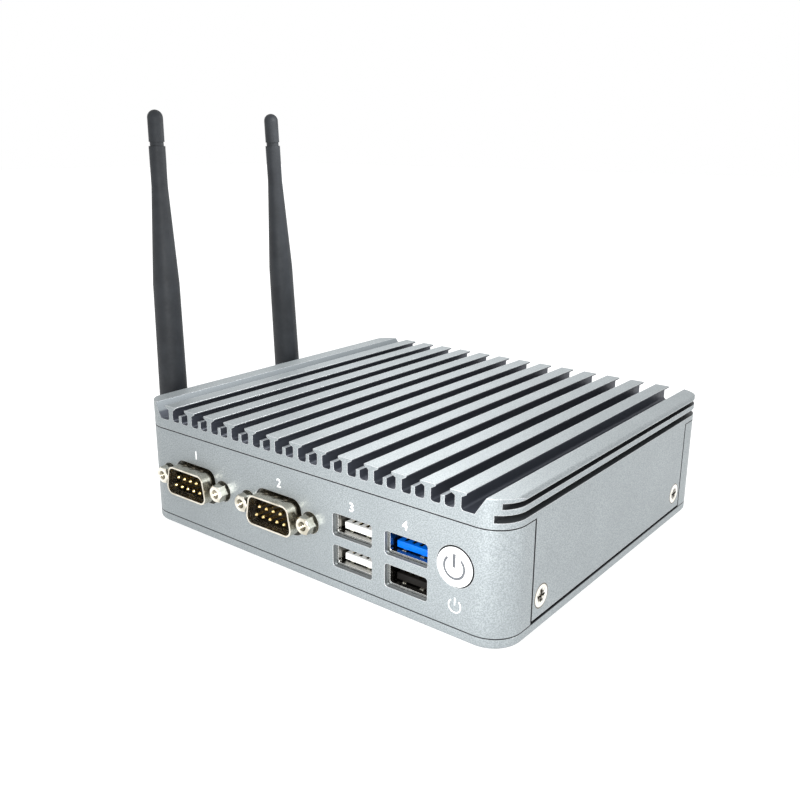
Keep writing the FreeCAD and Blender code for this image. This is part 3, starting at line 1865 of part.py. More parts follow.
def check_model():
    """Stop unless every object computed, every cut took material and every piece is sound."""
    doc.recompute()
    for feature in doc.Objects:
        if {"Invalid", "Error"} & set(feature.State):
            raise RuntimeError(f"{feature.Name} ({feature.Label}): {feature.State}")
    for feature in cuts:
        base = feature.BaseFeature
        if feature.Shape.Volume > base.Shape.Volume - TINY:
            raise RuntimeError(f"{feature.Name}: cuts nothing")
    for label, piece in pieces.items():
        shape = piece.Shape
        if shape.isNull() or not shape.isValid() or not shape.Solids:
            raise RuntimeError(f"{label}: no valid solid")


def main():
    """Build every piece and write one STEP file for each."""
    build_cover()
    build_front_panel()
    build_rear_panel()
    build_bottom_plate()
    build_feet()
    build_case_screws()
    build_mainboard()
    build_standoffs()
    build_processor()
    build_memory()
    build_modules()
    build_serial_ports()
    build_usb()
    build_button()
    build_lan()
    build_hdmi()
    build_round_jacks()
    build_antennas()
    check_model()
    os.makedirs("parts", exist_ok=True)
    for label, piece in pieces.items():
        piece.Shape.exportStep(f"parts/{label}.step")


main()
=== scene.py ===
"""Looks of a fanless industrial computer: finned cover, ports, button and two antennas.

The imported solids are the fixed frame. Finishes are procedural and read Object coordinates;
print, threads, springs and the sockets' lips are modelled here around the solids.
Sizes are in metres, but the camera's lens and sensor are in millimetres.
"""

from __future__ import annotations

import json
import logging
import math
from dataclasses import dataclass, field
from enum import Enum
from typing import Iterable, Sequence

import bmesh
import bpy
from mathutils import Matrix, Vector

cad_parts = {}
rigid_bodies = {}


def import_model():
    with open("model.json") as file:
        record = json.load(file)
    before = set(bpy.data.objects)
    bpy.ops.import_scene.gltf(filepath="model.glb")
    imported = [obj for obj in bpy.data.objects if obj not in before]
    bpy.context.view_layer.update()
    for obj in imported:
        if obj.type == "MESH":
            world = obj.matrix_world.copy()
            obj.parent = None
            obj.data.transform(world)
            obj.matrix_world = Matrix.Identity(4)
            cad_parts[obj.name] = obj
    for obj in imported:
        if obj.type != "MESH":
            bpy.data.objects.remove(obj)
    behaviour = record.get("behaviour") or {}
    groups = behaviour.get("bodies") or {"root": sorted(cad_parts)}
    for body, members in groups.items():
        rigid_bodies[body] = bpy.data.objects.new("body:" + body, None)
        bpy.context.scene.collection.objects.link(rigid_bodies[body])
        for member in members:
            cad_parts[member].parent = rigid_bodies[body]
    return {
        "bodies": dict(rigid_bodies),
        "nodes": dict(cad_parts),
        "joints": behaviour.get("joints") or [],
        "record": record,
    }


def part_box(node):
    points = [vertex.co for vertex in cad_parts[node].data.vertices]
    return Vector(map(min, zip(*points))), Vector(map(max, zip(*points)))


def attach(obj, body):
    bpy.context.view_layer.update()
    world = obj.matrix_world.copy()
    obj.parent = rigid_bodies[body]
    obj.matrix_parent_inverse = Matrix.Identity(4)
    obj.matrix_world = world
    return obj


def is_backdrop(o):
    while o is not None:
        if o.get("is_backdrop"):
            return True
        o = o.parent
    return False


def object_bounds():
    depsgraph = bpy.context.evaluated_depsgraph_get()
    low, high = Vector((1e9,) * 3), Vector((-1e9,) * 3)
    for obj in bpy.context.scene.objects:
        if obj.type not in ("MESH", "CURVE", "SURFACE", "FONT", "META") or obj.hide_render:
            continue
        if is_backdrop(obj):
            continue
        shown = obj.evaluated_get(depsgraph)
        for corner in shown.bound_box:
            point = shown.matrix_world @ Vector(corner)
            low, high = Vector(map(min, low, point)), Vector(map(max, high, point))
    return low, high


LOG = logging.getLogger("computer")
MM = 0.001
MERGE_DISTANCE = 1e-7

Colour = tuple[float, float, float]
Triple = tuple[float, float, float]
Pair = tuple[float, float]
Socket = bpy.types.NodeSocket


class Axis(Enum):
    """An axis of the object."""

    X = "X"
    Y = "Y"
    Z = "Z"


class Operation(Enum):
    """What a maths node does."""

    ADD = "ADD"
    SUBTRACT = "SUBTRACT"
    MULTIPLY = "MULTIPLY"
    POWER = "POWER"
    MAXIMUM = "MAXIMUM"
    ABSOLUTE = "ABSOLUTE"
    SQUARE_ROOT = "SQRT"


# ---- shader building ----


@dataclass(frozen=True)
class Pattern:
    """Noise that is mapped from one range to another."""

    per_metre: float
    low: float
    high: float
    first: float = 0.0
    last: float = 1.0
    detail: float = 3.0
    stretch: Triple = (1, 1, 1)


@dataclass(frozen=True)
class Bump:
    """Noise that raises a surface."""

    per_metre: float
    strength: float
    depth: float = 0.03 * MM
    detail: float = 2.0
    stretch: Triple = (1, 1, 1)


class Shader:
    """A node material that is put together step by step."""

    bevel_samples = 4
    # how sharply the painted edge highlights fall off from an edge
    edge_highlight_facing: Pair = (0.84, 0.998)
    outline_soft = 0.06 * MM
    range_inputs = ("From Min", "From Max", "To Min", "To Max")
    mix_inputs = (0, 6, 7)
    mix_output = 2

    def __init__(self, name: str) -> None:
        """Start an empty material with a Principled shader.

        Args:
            name: The material's name.
        """
        self.material = bpy.data.materials.new(name)
        self.material.use_nodes = True
        self.nodes = self.material.node_tree.nodes
        self.links = self.material.node_tree.links
        self.surface = self.nodes["Principled BSDF"]
        self.coords = self.nodes.new("ShaderNodeTexCoord")

    def value(self, socket: str, number: float | Sequence[float]) -> None:
        """Set a constant on the surface shader."""
        self.surface.inputs[socket].default_value = number

    def feed(self, socket: str, source: Socket) -> None:
        """Link a source to the surface shader."""
        self.links.new(source, self.surface.inputs[socket])

    def mapped(self, scale: Sequence[float]) -> Socket:
        """Return Object coordinates stretched along the axes.

        Args:
            scale: The factors along X, Y and Z.

        Returns:
            The vector socket.
        """
        node = self.nodes.new("ShaderNodeMapping")
        node.inputs["Scale"].default_value = scale
        self.links.new(self.coords.outputs["Object"], node.inputs["Vector"])
        return node.outputs["Vector"]

    def noise(self, noise: Pattern | Bump) -> Socket:
        """Return the plain noise of a pattern or a bump.

        Args:
            noise: Its features per metre, its finer noise and its stretch.

        Returns:
            The noise's value socket.
        """
        node = self.nodes.new("ShaderNodeTexNoise")
        node.inputs["Scale"].default_value = noise.per_metre
        node.inputs["Detail"].default_value = noise.detail
        self.links.new(self.mapped(noise.stretch), node.inputs["Vector"])
        return node.outputs["Fac"]

    def pattern(self, pattern: Pattern) -> Socket:
        """Return noise mapped to a pattern's range."""
        limits = (pattern.low, pattern.high, pattern.first, pattern.last)
        return self.ranged(self.noise(pattern), *limits)

    def cells(self, per_metre: float) -> Socket:
        """Return the distance to the nearest of scattered points.

        Args:
            per_metre: Points per metre.

        Returns:
            The distance's value socket.
        """
        node = self.nodes.new("ShaderNodeTexVoronoi")
        node.inputs["Scale"].default_value = per_metre
        self.links.new(self.mapped((1, 1, 1)), node.inputs["Vector"])
        return node.outputs["Distance"]

    def split(self, source: str, axis: Axis) -> Socket:
        """Return one component of an output of the texture coordinates.

        Args:
            source: The output's name.
            axis: The component.

        Returns:
            Its value socket.
        """
        node = self.nodes.new("ShaderNodeSeparateXYZ")
        self.links.new(self.coords.outputs[source], node.inputs["Vector"])
        return node.outputs[axis.value]

    def along(self, axis: Axis) -> Socket:
        """Return one Object coordinate."""
        return self.split("Object", axis)

    def aside(self, axis: Axis) -> Socket:
        """Return one Object coordinate without its sign."""
        return self.maths(Operation.ABSOLUTE, self.along(axis))

    def facing(self, axis: Axis) -> Socket:
        """Return one component of the surface's own normal."""
        return self.split("Normal", axis)

    def turned_from(self, axis: Axis, limit: float, soft: float) -> Socket:
        """Return 1 where the surface faces away from both ends of an axis."""
        return self.below(self.maths(Operation.ABSOLUTE, self.facing(axis)), limit, soft)

    def maths(
        self, kind: Operation, first: Socket | float, second: Socket | float = 0.0
    ) -> Socket:
        """Return the result of an operation on sockets or numbers.

        Args:
            kind: What is done with them.
            first: The first term.
            second: The second term, where there is one.

        Returns:
            The result's value socket.
        """
        node = self.nodes.new("ShaderNodeMath")
        node.operation = kind.value
        for number, source in enumerate((first, second)):
            if isinstance(source, (int, float)):
                node.inputs[number].default_value = source
            else:
                self.links.new(source, node.inputs[number])
        return node.outputs["Value"]

    def ranged(
        self, source: Socket, low: float, high: float, first: float, last: float
    ) -> Socket:
        """Return a source mapped smoothly from one range to another.

        Args:
            source: The source.
            low: The start of its range.
            high: The end of its range.
            first: The result up to the start.
            last: The result from the end on.

        Returns:
            The result's value socket.
        """
        node = self.nodes.new("ShaderNodeMapRange")
        node.interpolation_type = "SMOOTHSTEP"
        for name, number in zip(self.range_inputs, (low, high, first, last)):
            node.inputs[name].default_value = number
        self.links.new(source, node.inputs["Value"])
        return node.outputs["Result"]

    def above(self, source: Socket, limit: float, soft: float) -> Socket:
        """Return 1 where a source is over a limit."""
        return self.ranged(source, limit - soft, limit + soft, 0.0, 1.0)

    def below(self, source: Socket, limit: float, soft: float) -> Socket:
        """Return 1 where a source is under a limit."""
        return self.ranged(source, limit - soft, limit + soft, 1.0, 0.0)

    def band(self, source: Socket, limits: Pair, soft: float) -> Socket:
        """Return 1 where a source lies between two limits, with soft ends."""
        low, high = limits
        return self.both(self.above(source, low, soft), self.below(source, high, soft))

    def both(self, *masks: Socket | float) -> Socket:
        """Return the product of several masks or shares.

        Args:
            *masks: The masks, the first of them a socket.

        Returns:
            The product's value socket.
        """
        result, *others = masks
        for mask in others:
            result = self.maths(Operation.MULTIPLY, result, mask)
        return result

    def either(self, *masks: Socket) -> Socket:
        """Return the strongest of several masks.

        Args:
            *masks: The masks.

        Returns:
            The strongest mask's value socket.
        """
        result, *others = masks
        for mask in others:
            result = self.maths(Operation.MAXIMUM, result, mask)
        return result

    def opposite(self, mask: Socket) -> Socket:
        """Return 1 where a mask is 0, and 0 where it is 1."""
        return self.maths(Operation.SUBTRACT, 1.0, mask)

    def reach(self, across: Socket, along: Socket) -> Socket:
        """Return the length of two sources at right angles."""
        squares = [self.maths(Operation.POWER, side, 2.0) for side in (across, along)]
        return self.maths(Operation.SQUARE_ROOT, self.maths(Operation.ADD, *squares))

    def inside_outline(self, half: Pair, radius: float, depth: float) -> Socket:
        """Return 1 behind the walls of an upright block with round corners.

        Args:
            half: Half the block's width and length.
            radius: The corners' radius.
            depth: How far behind the wall it starts.

        Returns:
            The mask's value socket.
        """
        beyond = []
        for axis, size in zip((Axis.X, Axis.Y), half):
            past = self.maths(Operation.SUBTRACT, self.aside(axis), size - radius)
            beyond.append(self.maths(Operation.MAXIMUM, past, 0.0))
        return self.below(self.reach(*beyond), radius - depth, self.outline_soft)

    def mixed(
        self, factor: Socket | float, first: Socket | Colour, second: Socket | Colour
    ) -> Socket:
        """Return two colours mixed by a factor.

        Args:
            factor: The second colour's share.
            first: The first colour.
            second: The second colour.

        Returns:
            The colour socket.
        """
        node = self.nodes.new("ShaderNodeMix")
        node.data_type = "RGBA"
        for number, source in zip(self.mix_inputs, (factor, first, second)):
            socket = node.inputs[number]
            if isinstance(source, (int, float)):
                socket.default_value = source
            elif isinstance(source, tuple):
                socket.default_value = (*source, 1.0)
            else:
                self.links.new(source, socket)
        return node.outputs[self.mix_output]

    def relief(
        self, height: Socket, strength: float, depth: float, under: Socket | None = None
    ) -> Socket:
        """Return a bumped normal.

        Args:
            height: The pattern that gives the height.
            strength: How much of the bump shows.
            depth: The height of a full step.
            under: A normal to build on.

        Returns:
            The normal socket.
        """
        node = self.nodes.new("ShaderNodeBump")
        node.inputs["Strength"].default_value = strength
        node.inputs["Distance"].default_value = depth
        self.links.new(height, node.inputs["Height"])
        if under is not None:
            self.links.new(under, node.inputs["Normal"])
        return node.outputs["Normal"]

    def bumped(self, bump: Bump, under: Socket | None = None) -> Socket:
        """Return a normal that noise has bumped."""
        return self.relief(self.noise(bump), bump.strength, bump.depth, under)

    def soft_edges(self, radius: float) -> Socket:
        """Return a normal that is rounded at sharp edges.

        Args:
            radius: How far the rounding reaches.

        Returns:
            The normal socket.
        """
        node = self.nodes.new("ShaderNodeBevel")
        node.samples = self.bevel_samples
        node.inputs["Radius"].default_value = radius
        return node.outputs["Normal"]

    def edge_highlight_mask(self, rounded: Socket) -> Socket:
        """Return 1 at sharp edges and 0 on flat surfaces: the mask of the painted edge
        highlights.

        Args:
            rounded: A normal that is rounded at the edges.

        Returns:
            The mask's value socket.
        """
        plain = self.nodes.new("ShaderNodeNewGeometry")
        node = self.nodes.new("ShaderNodeVectorMath")
        node.operation = "DOT_PRODUCT"
        self.links.new(rounded, node.inputs[0])
        self.links.new(plain.outputs["Normal"], node.inputs[1])
        return self.ranged(node.outputs["Value"], *self.edge_highlight_facing, 1.0, 0.0)


# ---- finishes ----


@dataclass(frozen=True)
class Finish:
    """A finish of the computer, with the name of its material."""

    name: str

    def build(self) -> bpy.types.Material:
        """Make the material.

        Returns:
            The material.
        """
        shader = Shader(self.name)
        self.lay(shader)
        return shader.material

    def lay(self, shader: Shader) -> None:
        """Put the finish together on a shader."""

    def paint(self, shader: Shader, plain: Socket) -> Socket:
        """Return the plain colour, which some finishes change in places."""
        return plain

    def set_gloss(self, shader: Shader, gloss: Pattern, roughness: float) -> None:
        """Feed an uneven roughness.

        Args:
            shader: The shader.
            gloss: How far the roughness strays.
            roughness: The middle of the roughness.
        """
        shader.feed("Roughness", shader.maths(Operation.ADD, shader.pattern(gloss), roughness))


@dataclass(frozen=True)
class BlastedAluminium(Finish):
    """Silver anodised aluminium with a fine bead-blasted grain and painted highlights on its
    sharp edges.
    """

    colour: Colour = (0.321, 0.351, 0.362)
    grain_colour: Colour = (0.208, 0.232, 0.242)
    # painted highlight: the near-white colour mixed in at sharp edges
    edge_highlight_colour: Colour = (0.80, 0.82, 0.83)
    # painted shade colour, used by the panels for their seams and window walls
    dark_colour: Colour = (0.012, 0.014, 0.017)
    edge_highlight: float = 0.8
    roughness: float = 0.46
    metal: float = 0.5
    edge: float = 0.32 * MM
    speckle: Pattern = Pattern(2900, 0.36, 0.64)
    cloud: Pattern = Pattern(60, 0.3, 0.7, last=0.3)
    gloss: Pattern = Pattern(900, 0.2, 0.8, -0.05, 0.05)
    bump: Bump = Bump(3800, 0.22, 0.04 * MM)

    def lay(self, shader: Shader) -> None:
        """Lay the grained silver with painted highlights on its edges.

        Args:
            shader: The shader.
        """
        edges = shader.soft_edges(self.edge)
        silver = shader.mixed(shader.pattern(self.speckle), self.grain_colour, self.colour)
        silver = shader.mixed(shader.pattern(self.cloud), silver, self.grain_colour)
        # painted highlight: sharp edges are mixed towards a near-white silver
        highlighted = shader.both(shader.edge_highlight_mask(edges), self.edge_highlight)
        silver = shader.mixed(highlighted, silver, self.edge_highlight_colour)
        shader.feed("Base Color", self.paint(shader, silver))
        shader.value("Metallic", self.metal)
        self.set_gloss(shader, self.gloss, self.roughness)
        shader.feed("Normal", shader.bumped(self.bump, edges))


@dataclass(frozen=True)
class PanelAluminium(BlastedAluminium):
    """The panels' and plate's finish: painted shade in the seams and in the walls of the
    windows.
    """

    low_seam: Pair = (2.78 * MM, 3.14 * MM)
    high_seam: float = 31.60 * MM
    return_y: float = 48.15 * MM
    wall_y: float = 60.90 * MM
    window_x: float = 60.0 * MM
    wall_facing: Pair = (0.5, 0.1)
    wall_shade: float = 0.5
    soft: float = 0.03 * MM

    def paint(self, shader: Shader, plain: Socket) -> Socket:
        """Return the silver colour with painted shade in the seams and window walls.

        Args:
            shader: The shader.
            plain: The colour elsewhere.

        Returns:
            The colour socket.
        """
        height = shader.along(Axis.Z)
        along = shader.aside(Axis.Y)
        seam_low, seam_high = self.low_seam
        # painted shade: the returns' ends by the side walls, the windows' walls, the seam by
        # the plate and the top under the cover
        ends = shader.both(
            shader.below(along, self.return_y, self.soft),
            shader.above(height, seam_low, self.soft),
        )
        walls = shader.both(
            shader.below(along, self.wall_y, self.soft),
            shader.below(shader.aside(Axis.X), self.window_x, self.soft),
            shader.above(height, seam_high, self.soft),
            shader.turned_from(Axis.Y, *self.wall_facing),
            self.wall_shade,
        )
        seam = shader.band(height, self.low_seam, self.soft)
        top = shader.above(height, self.high_seam, self.soft)
        return shader.mixed(shader.either(seam, top, ends, walls), plain, self.dark_colour)


@dataclass(frozen=True)
class FinnedAluminium(BlastedAluminium):
    """The cover's finish: blasted outside, with painted shade between the fins, in the grooves
    and seams and on the slopes beside the fins.
    """

    # painted shade colour between the fins
    valley_colour: Colour = (0.060, 0.067, 0.084)
    # painted shade colour in the side grooves and seams
    groove_colour: Colour = (0.034, 0.037, 0.041)
    # painted shade colour on the slopes that face partly up
    slope_colour: Colour = (0.16, 0.18, 0.195)
    valley_z: Pair = (34.4 * MM, 39.4 * MM)
    valley_soft: float = 0.05 * MM
    inner_x: float = 60.0 * MM
    rib_z: Pair = (37.2 * MM, 37.6 * MM)
    rib_facing: Pair = (0.8, 0.1)
    rib_light: float = 0.55
    slope_facing: Pair = (0.40, 0.66)
    slope_facing_soft: float = 0.04
    slope_x: Pair = (58.2 * MM, 62.2 * MM)
    slope_z: Pair = (35.0 * MM, 39.6 * MM)
    slope_shade: Pair = (1.0, 0.75)
    outline: Pair = (68.0 * MM, 61.0 * MM)
    corner: float = 8.6 * MM
    groove_depth: float = 0.14 * MM
    groove_z: Pair = (33.5 * MM, 38.6 * MM)
    groove_soft: float = 0.1 * MM
    groove_x: float = 62.7 * MM
    seam_z: float = 31.96 * MM
    wall_x: float = 65.0 * MM
    wall_low_z: float = 3.83 * MM
    wall_end_y: float = 47.43 * MM
    end_facing: Pair = (0.45, 0.15)
    soft: float = 0.04 * MM
    wide_soft: float = 0.2 * MM

    def paint(self, shader: Shader, plain: Socket) -> Socket:
        """Return the silver colour with painted shade in the valleys, side grooves and seams
        and on the slopes.

        Args:
            shader: The shader.
            plain: The colour elsewhere.

        Returns:
            The colour socket.
        """
        height = shader.along(Axis.Z)
        across = shader.aside(Axis.X)
        upward = shader.facing(Axis.Z)
        not_end = shader.turned_from(Axis.Y, *self.end_facing)
        under_seam = shader.below(height, self.seam_z, self.soft)
        rib_top = shader.both(
            shader.band(height, self.rib_z, self.soft),
            shader.above(upward, *self.rib_facing),
            self.rib_light,
        )
        # painted shade between the fins, lighter on the rib tops
        valley = shader.both(
            shader.band(height, self.valley_z, self.valley_soft),
            shader.below(across, self.inner_x, self.wide_soft),
            not_end,
            shader.opposite(rib_top),
        )
        # painted shade: slopes facing partly up are darkened, more so lower down
        slope = shader.both(
            shader.band(upward, self.slope_facing, self.slope_facing_soft),
            shader.band(across, self.slope_x, self.wide_soft),
            not_end,
            shader.ranged(height, *self.slope_z, *self.slope_shade),
        )
        # painted shade: the side grooves, the cover below the seam, the side walls' foot above
        # the plate and the walls' front ends
        groove = shader.both(
            shader.inside_outline(self.outline, self.corner, self.groove_depth),
            shader.band(height, self.groove_z, self.groove_soft),
            shader.above(across, self.groove_x, self.wide_soft),
        )
        dark = shader.either(
            groove,
            shader.both(under_seam, shader.below(across, self.wall_x, self.soft)),
            shader.below(height, self.wall_low_z, self.soft),
            shader.both(
                under_seam, shader.above(shader.aside(Axis.Y), self.wall_end_y, self.soft)
            ),
        )
        colour = shader.mixed(slope, plain, self.slope_colour)
        colour = shader.mixed(valley, colour, self.valley_colour)
        return shader.mixed(dark, colour, self.groove_colour)


@dataclass(frozen=True)
class PlatedMetal(Finish):
    """Bright plated metal with faint drawing lines and stains; where the shade lies far below
    the colour, as in the jackscrews' nickel, the stain pattern also lays painted reflections.
    """

    colour: Colour
    shade: Colour
    roughness: float = 0.22
    edge: float = 0.12 * MM
    stain_and_reflection: Pattern = Pattern(260, 0.35, 0.7)
    gloss: Pattern = Pattern(700, 0.2, 0.8, -0.06, 0.08, stretch=(1, 6, 1))
    lines: Bump = Bump(2400, 0.10, stretch=(1, 6, 1))

    def lay(self, shader: Shader) -> None:
        """Lay the stained metal, partly painted reflection, with its drawing lines.

        Args:
            shader: The shader.
        """
        # stains, and painted reflection where a finish's shade lies far below its colour
        bright = shader.mixed(shader.pattern(self.stain_and_reflection), self.colour, self.shade)
        shader.feed("Base Color", self.paint(shader, bright))
        shader.value("Metallic", 1.0)
        self.set_gloss(shader, self.gloss, self.roughness)
        shader.feed("Normal", shader.bumped(self.lines, shader.soft_edges(self.edge)))


@dataclass(frozen=True)
class ShellNickel(PlatedMetal):
    """Nickel of the D-shells, with a painted dark brown reflection and shade at the root."""

    # painted reflection and shade: dark brown on the shells' sides next to the panel
    root_colour: Colour = (0.115, 0.092, 0.058)
    root_y: Pair = (59.0 * MM, 62.1 * MM)
    root_soft: float = 0.22 * MM
    root_facing: Pair = (0.75, 0.1)
    root_shade: float = 0.85

    def paint(self, shader: Shader, plain: Socket) -> Socket:
        """Return the bright colour with a painted dark reflection and shade at the root.

        Args:
            shader: The shader.
            plain: The colour elsewhere.

        Returns:
            The colour socket.
        """
        # painted reflection and shade at the shell's root
        root = shader.both(
            shader.band(shader.aside(Axis.Y), self.root_y, self.root_soft),
            shader.turned_from(Axis.Y, *self.root_facing),
            self.root_shade,
        )
        return shader.mixed(root, plain, self.root_colour)


@dataclass(frozen=True)
class SocketNickel(PlatedMetal):
    """Nickel of the USB shells: a bright rim round each mouth, with painted shade between the
    mouths and inside them.
    """

    # painted shade colour between and inside the mouths
    dark_colour: Colour = (0.030, 0.029, 0.027)
    rim_y: float = 58.42 * MM
    rim_soft: float = 0.06 * MM
    inner_shade: float = 0.8
    mouths: tuple[Pair, ...] = ((7.45 * MM, 13.35 * MM), (16.70 * MM, 22.60 * MM))
    mouth_soft: float = 0.05 * MM

    def paint(self, shader: Shader, plain: Socket) -> Socket:
        """Return the bright colour with painted shade between the mouths and on the inner
        walls.

        Args:
            shader: The shader.
            plain: The colour elsewhere.

        Returns:
            The colour socket.
        """
        height = shader.along(Axis.Z)
        rims = [shader.band(height, mouth, self.mouth_soft) for mouth in self.mouths]
        inside = shader.below(shader.aside(Axis.Y), self.rim_y, self.rim_soft)
        # painted shade: everything outside the mouths' bands, and the walls behind the rim
        dark = shader.either(
            shader.opposite(shader.either(*rims)), shader.both(inside, self.inner_shade)
        )
        return shader.mixed(dark, plain, self.dark_colour)


@dataclass(frozen=True)
class ScrewNickel(PlatedMetal):
    """Nickel of the side screws: a painted shadow ring in the countersink and a painted dark
    recess.
    """

    # painted shade colour for the countersink's shadow ring and the recess
    dark_colour: Colour = (0.045, 0.034, 0.020)
    place: Pair = (43.2 * MM, 9.2 * MM)
    recess: float = 1.75 * MM
    recess_soft: float = 0.15 * MM
    rim: float = 3.05 * MM
    rim_soft: float = 0.08 * MM
    uneven: Pattern = Pattern(1500, 0.3, 0.7, -0.4 * MM, 0.4 * MM, detail=2)
    mottle: Pattern = Pattern(1100, 0.40, 0.56, 0.35, 1.0, detail=1)
    depth_shade: float = 0.92

    def paint(self, shader: Shader, plain: Socket) -> Socket:
        """Return the bright colour with its painted shadow ring and painted dark recess.

        Args:
            shader: The shader.
            plain: The colour elsewhere.

        Returns:
            The colour socket.
        """
        middle_y, middle_z = self.place
        reach = shader.reach(
            shader.maths(Operation.SUBTRACT, shader.aside(Axis.Y), middle_y),
            shader.maths(Operation.SUBTRACT, shader.along(Axis.Z), middle_z),
        )
        ragged = shader.maths(Operation.ADD, reach, shader.pattern(self.uneven))
        # painted shade: a mottled dark recess in the middle and a shadow ring at the rim
        recess = shader.both(
            shader.below(ragged, self.recess, self.recess_soft), shader.pattern(self.mottle)
        )
        rim = shader.above(reach, self.rim, self.rim_soft)
        dark = shader.both(shader.either(recess, rim), self.depth_shade)
        return shader.mixed(dark, plain, self.dark_colour)


@dataclass(frozen=True)
class MouldedPlastic(Finish):
    """Moulded plastic with a faint grain and a slightly uneven gloss."""

    colour: Colour
    shade: Colour
    roughness: float = 0.42
    grain: float = 0.25
    grain_per_metre: float = 3000.0
    edge: float = 0.12 * MM
    shine: float = 0.5
    refraction: float = 1.49
    cloud: Pattern = Pattern(180, 0.3, 0.7, detail=4)
    gloss: Pattern = Pattern(900, 0.2, 0.8, -0.05, 0.06)

    def lay(self, shader: Shader) -> None:
        """Lay the grained plastic.

        Args:
            shader: The shader.
        """
        plain = shader.mixed(shader.pattern(self.cloud), self.colour, self.shade)
        shader.feed("Base Color", self.paint(shader, plain))
        self.set_gloss(shader, self.gloss, self.roughness)
        shader.value("IOR", self.refraction)
        shader.value("Specular IOR Level", self.shine)
        grain = Bump(self.grain_per_metre, self.grain)
        shader.feed("Normal", shader.bumped(grain, shader.soft_edges(self.edge)))


@dataclass(frozen=True)
class ButtonPlastic(MouldedPlastic):
    """The white cap's plastic, with a dark skirt behind the panel's face."""

    skirt_colour: Colour = (0.010, 0.010, 0.011)
    skirt_y: float = 61.05 * MM
    skirt_soft: float = 0.05 * MM

    def paint(self, shader: Shader, plain: Socket) -> Socket:
        """Return the plain colour with its dark skirt."""
        skirt = shader.below(shader.aside(Axis.Y), self.skirt_y, self.skirt_soft)
        return shader.mixed(skirt, plain, self.skirt_colour)


@dataclass(frozen=True)
class CircuitBoard(Finish):
    """Solder mask with copper tracks and vias showing through."""

    colour: Colour = (0.008, 0.060, 0.032)
    track_colour: Colour = (0.020, 0.130, 0.070)
    via_colour: Colour = (0.60, 0.55, 0.40)
    tracks: Pattern = Pattern(420, 0.50, 0.53, detail=0, stretch=(1, 0.12, 1))
    cross_tracks: Pattern = Pattern(380, 0.56, 0.58, detail=0, stretch=(0.12, 1, 1))
    vias_per_metre: float = 330.0
    via_size: Pair = (0.10, 0.13)
    roughness: float = 0.38
    track_rise: Pair = (0.3, 0.04 * MM)

    def lay(self, shader: Shader) -> None:
        """Lay the mask over the tracks, and the vias through it.

        Args:
            shader: The shader.
        """
        tracks = shader.either(shader.pattern(self.tracks), shader.pattern(self.cross_tracks))
        painted = shader.mixed(tracks, self.colour, self.track_colour)
        vias = shader.ranged(shader.cells(self.vias_per_metre), *self.via_size, 1.0, 0.0)
        shader.feed("Base Color", shader.mixed(vias, painted, self.via_colour))
        shader.value("Roughness", self.roughness)
        shader.feed("Normal", shader.relief(tracks, *self.track_rise))


@dataclass(frozen=True)
class PrintedInk(Finish):
    """Screen-printed ink with slightly thin patches."""

    colour: Colour
    thin_colour: Colour
    roughness: float = 0.5
    thin: Pattern = Pattern(2200, 0.52, 0.75, last=0.6)
    bump: Bump = Bump(4200, 0.2)

    def lay(self, shader: Shader) -> None:
        """Lay the ink with its thin patches.

        Args:
            shader: The shader.
        """
        thin = shader.pattern(self.thin)
        shader.feed("Base Color", shader.mixed(thin, self.colour, self.thin_colour))
        shader.value("Roughness", self.roughness)
        shader.feed("Normal", shader.bumped(self.bump))


@dataclass(frozen=True)
class Backdrop(Finish):
    """The pale floor's paper, with a glow of its own."""

    name: str = "pale_paper"
    colour: Colour = (0.46, 0.46, 0.46)
    shade: Colour = (0.43, 0.43, 0.43)
    cloud: Pattern = Pattern(8, 0.3, 0.7, detail=2)
    roughness: float = 0.9
    glow_colour: Colour = (1.0, 1.0, 1.0)
    glow: float = 0.78

    def lay(self, shader: Shader) -> None:
        """Lay the paper and its glow.

        Args:
            shader: The shader.
        """
        cloud = shader.pattern(self.cloud)
        shader.feed("Base Color", shader.mixed(cloud, self.colour, self.shade))
        shader.value("Roughness", self.roughness)
        shader.value("Emission Color", (*self.glow_colour, 1.0))
        shader.value("Emission Strength", self.glow)


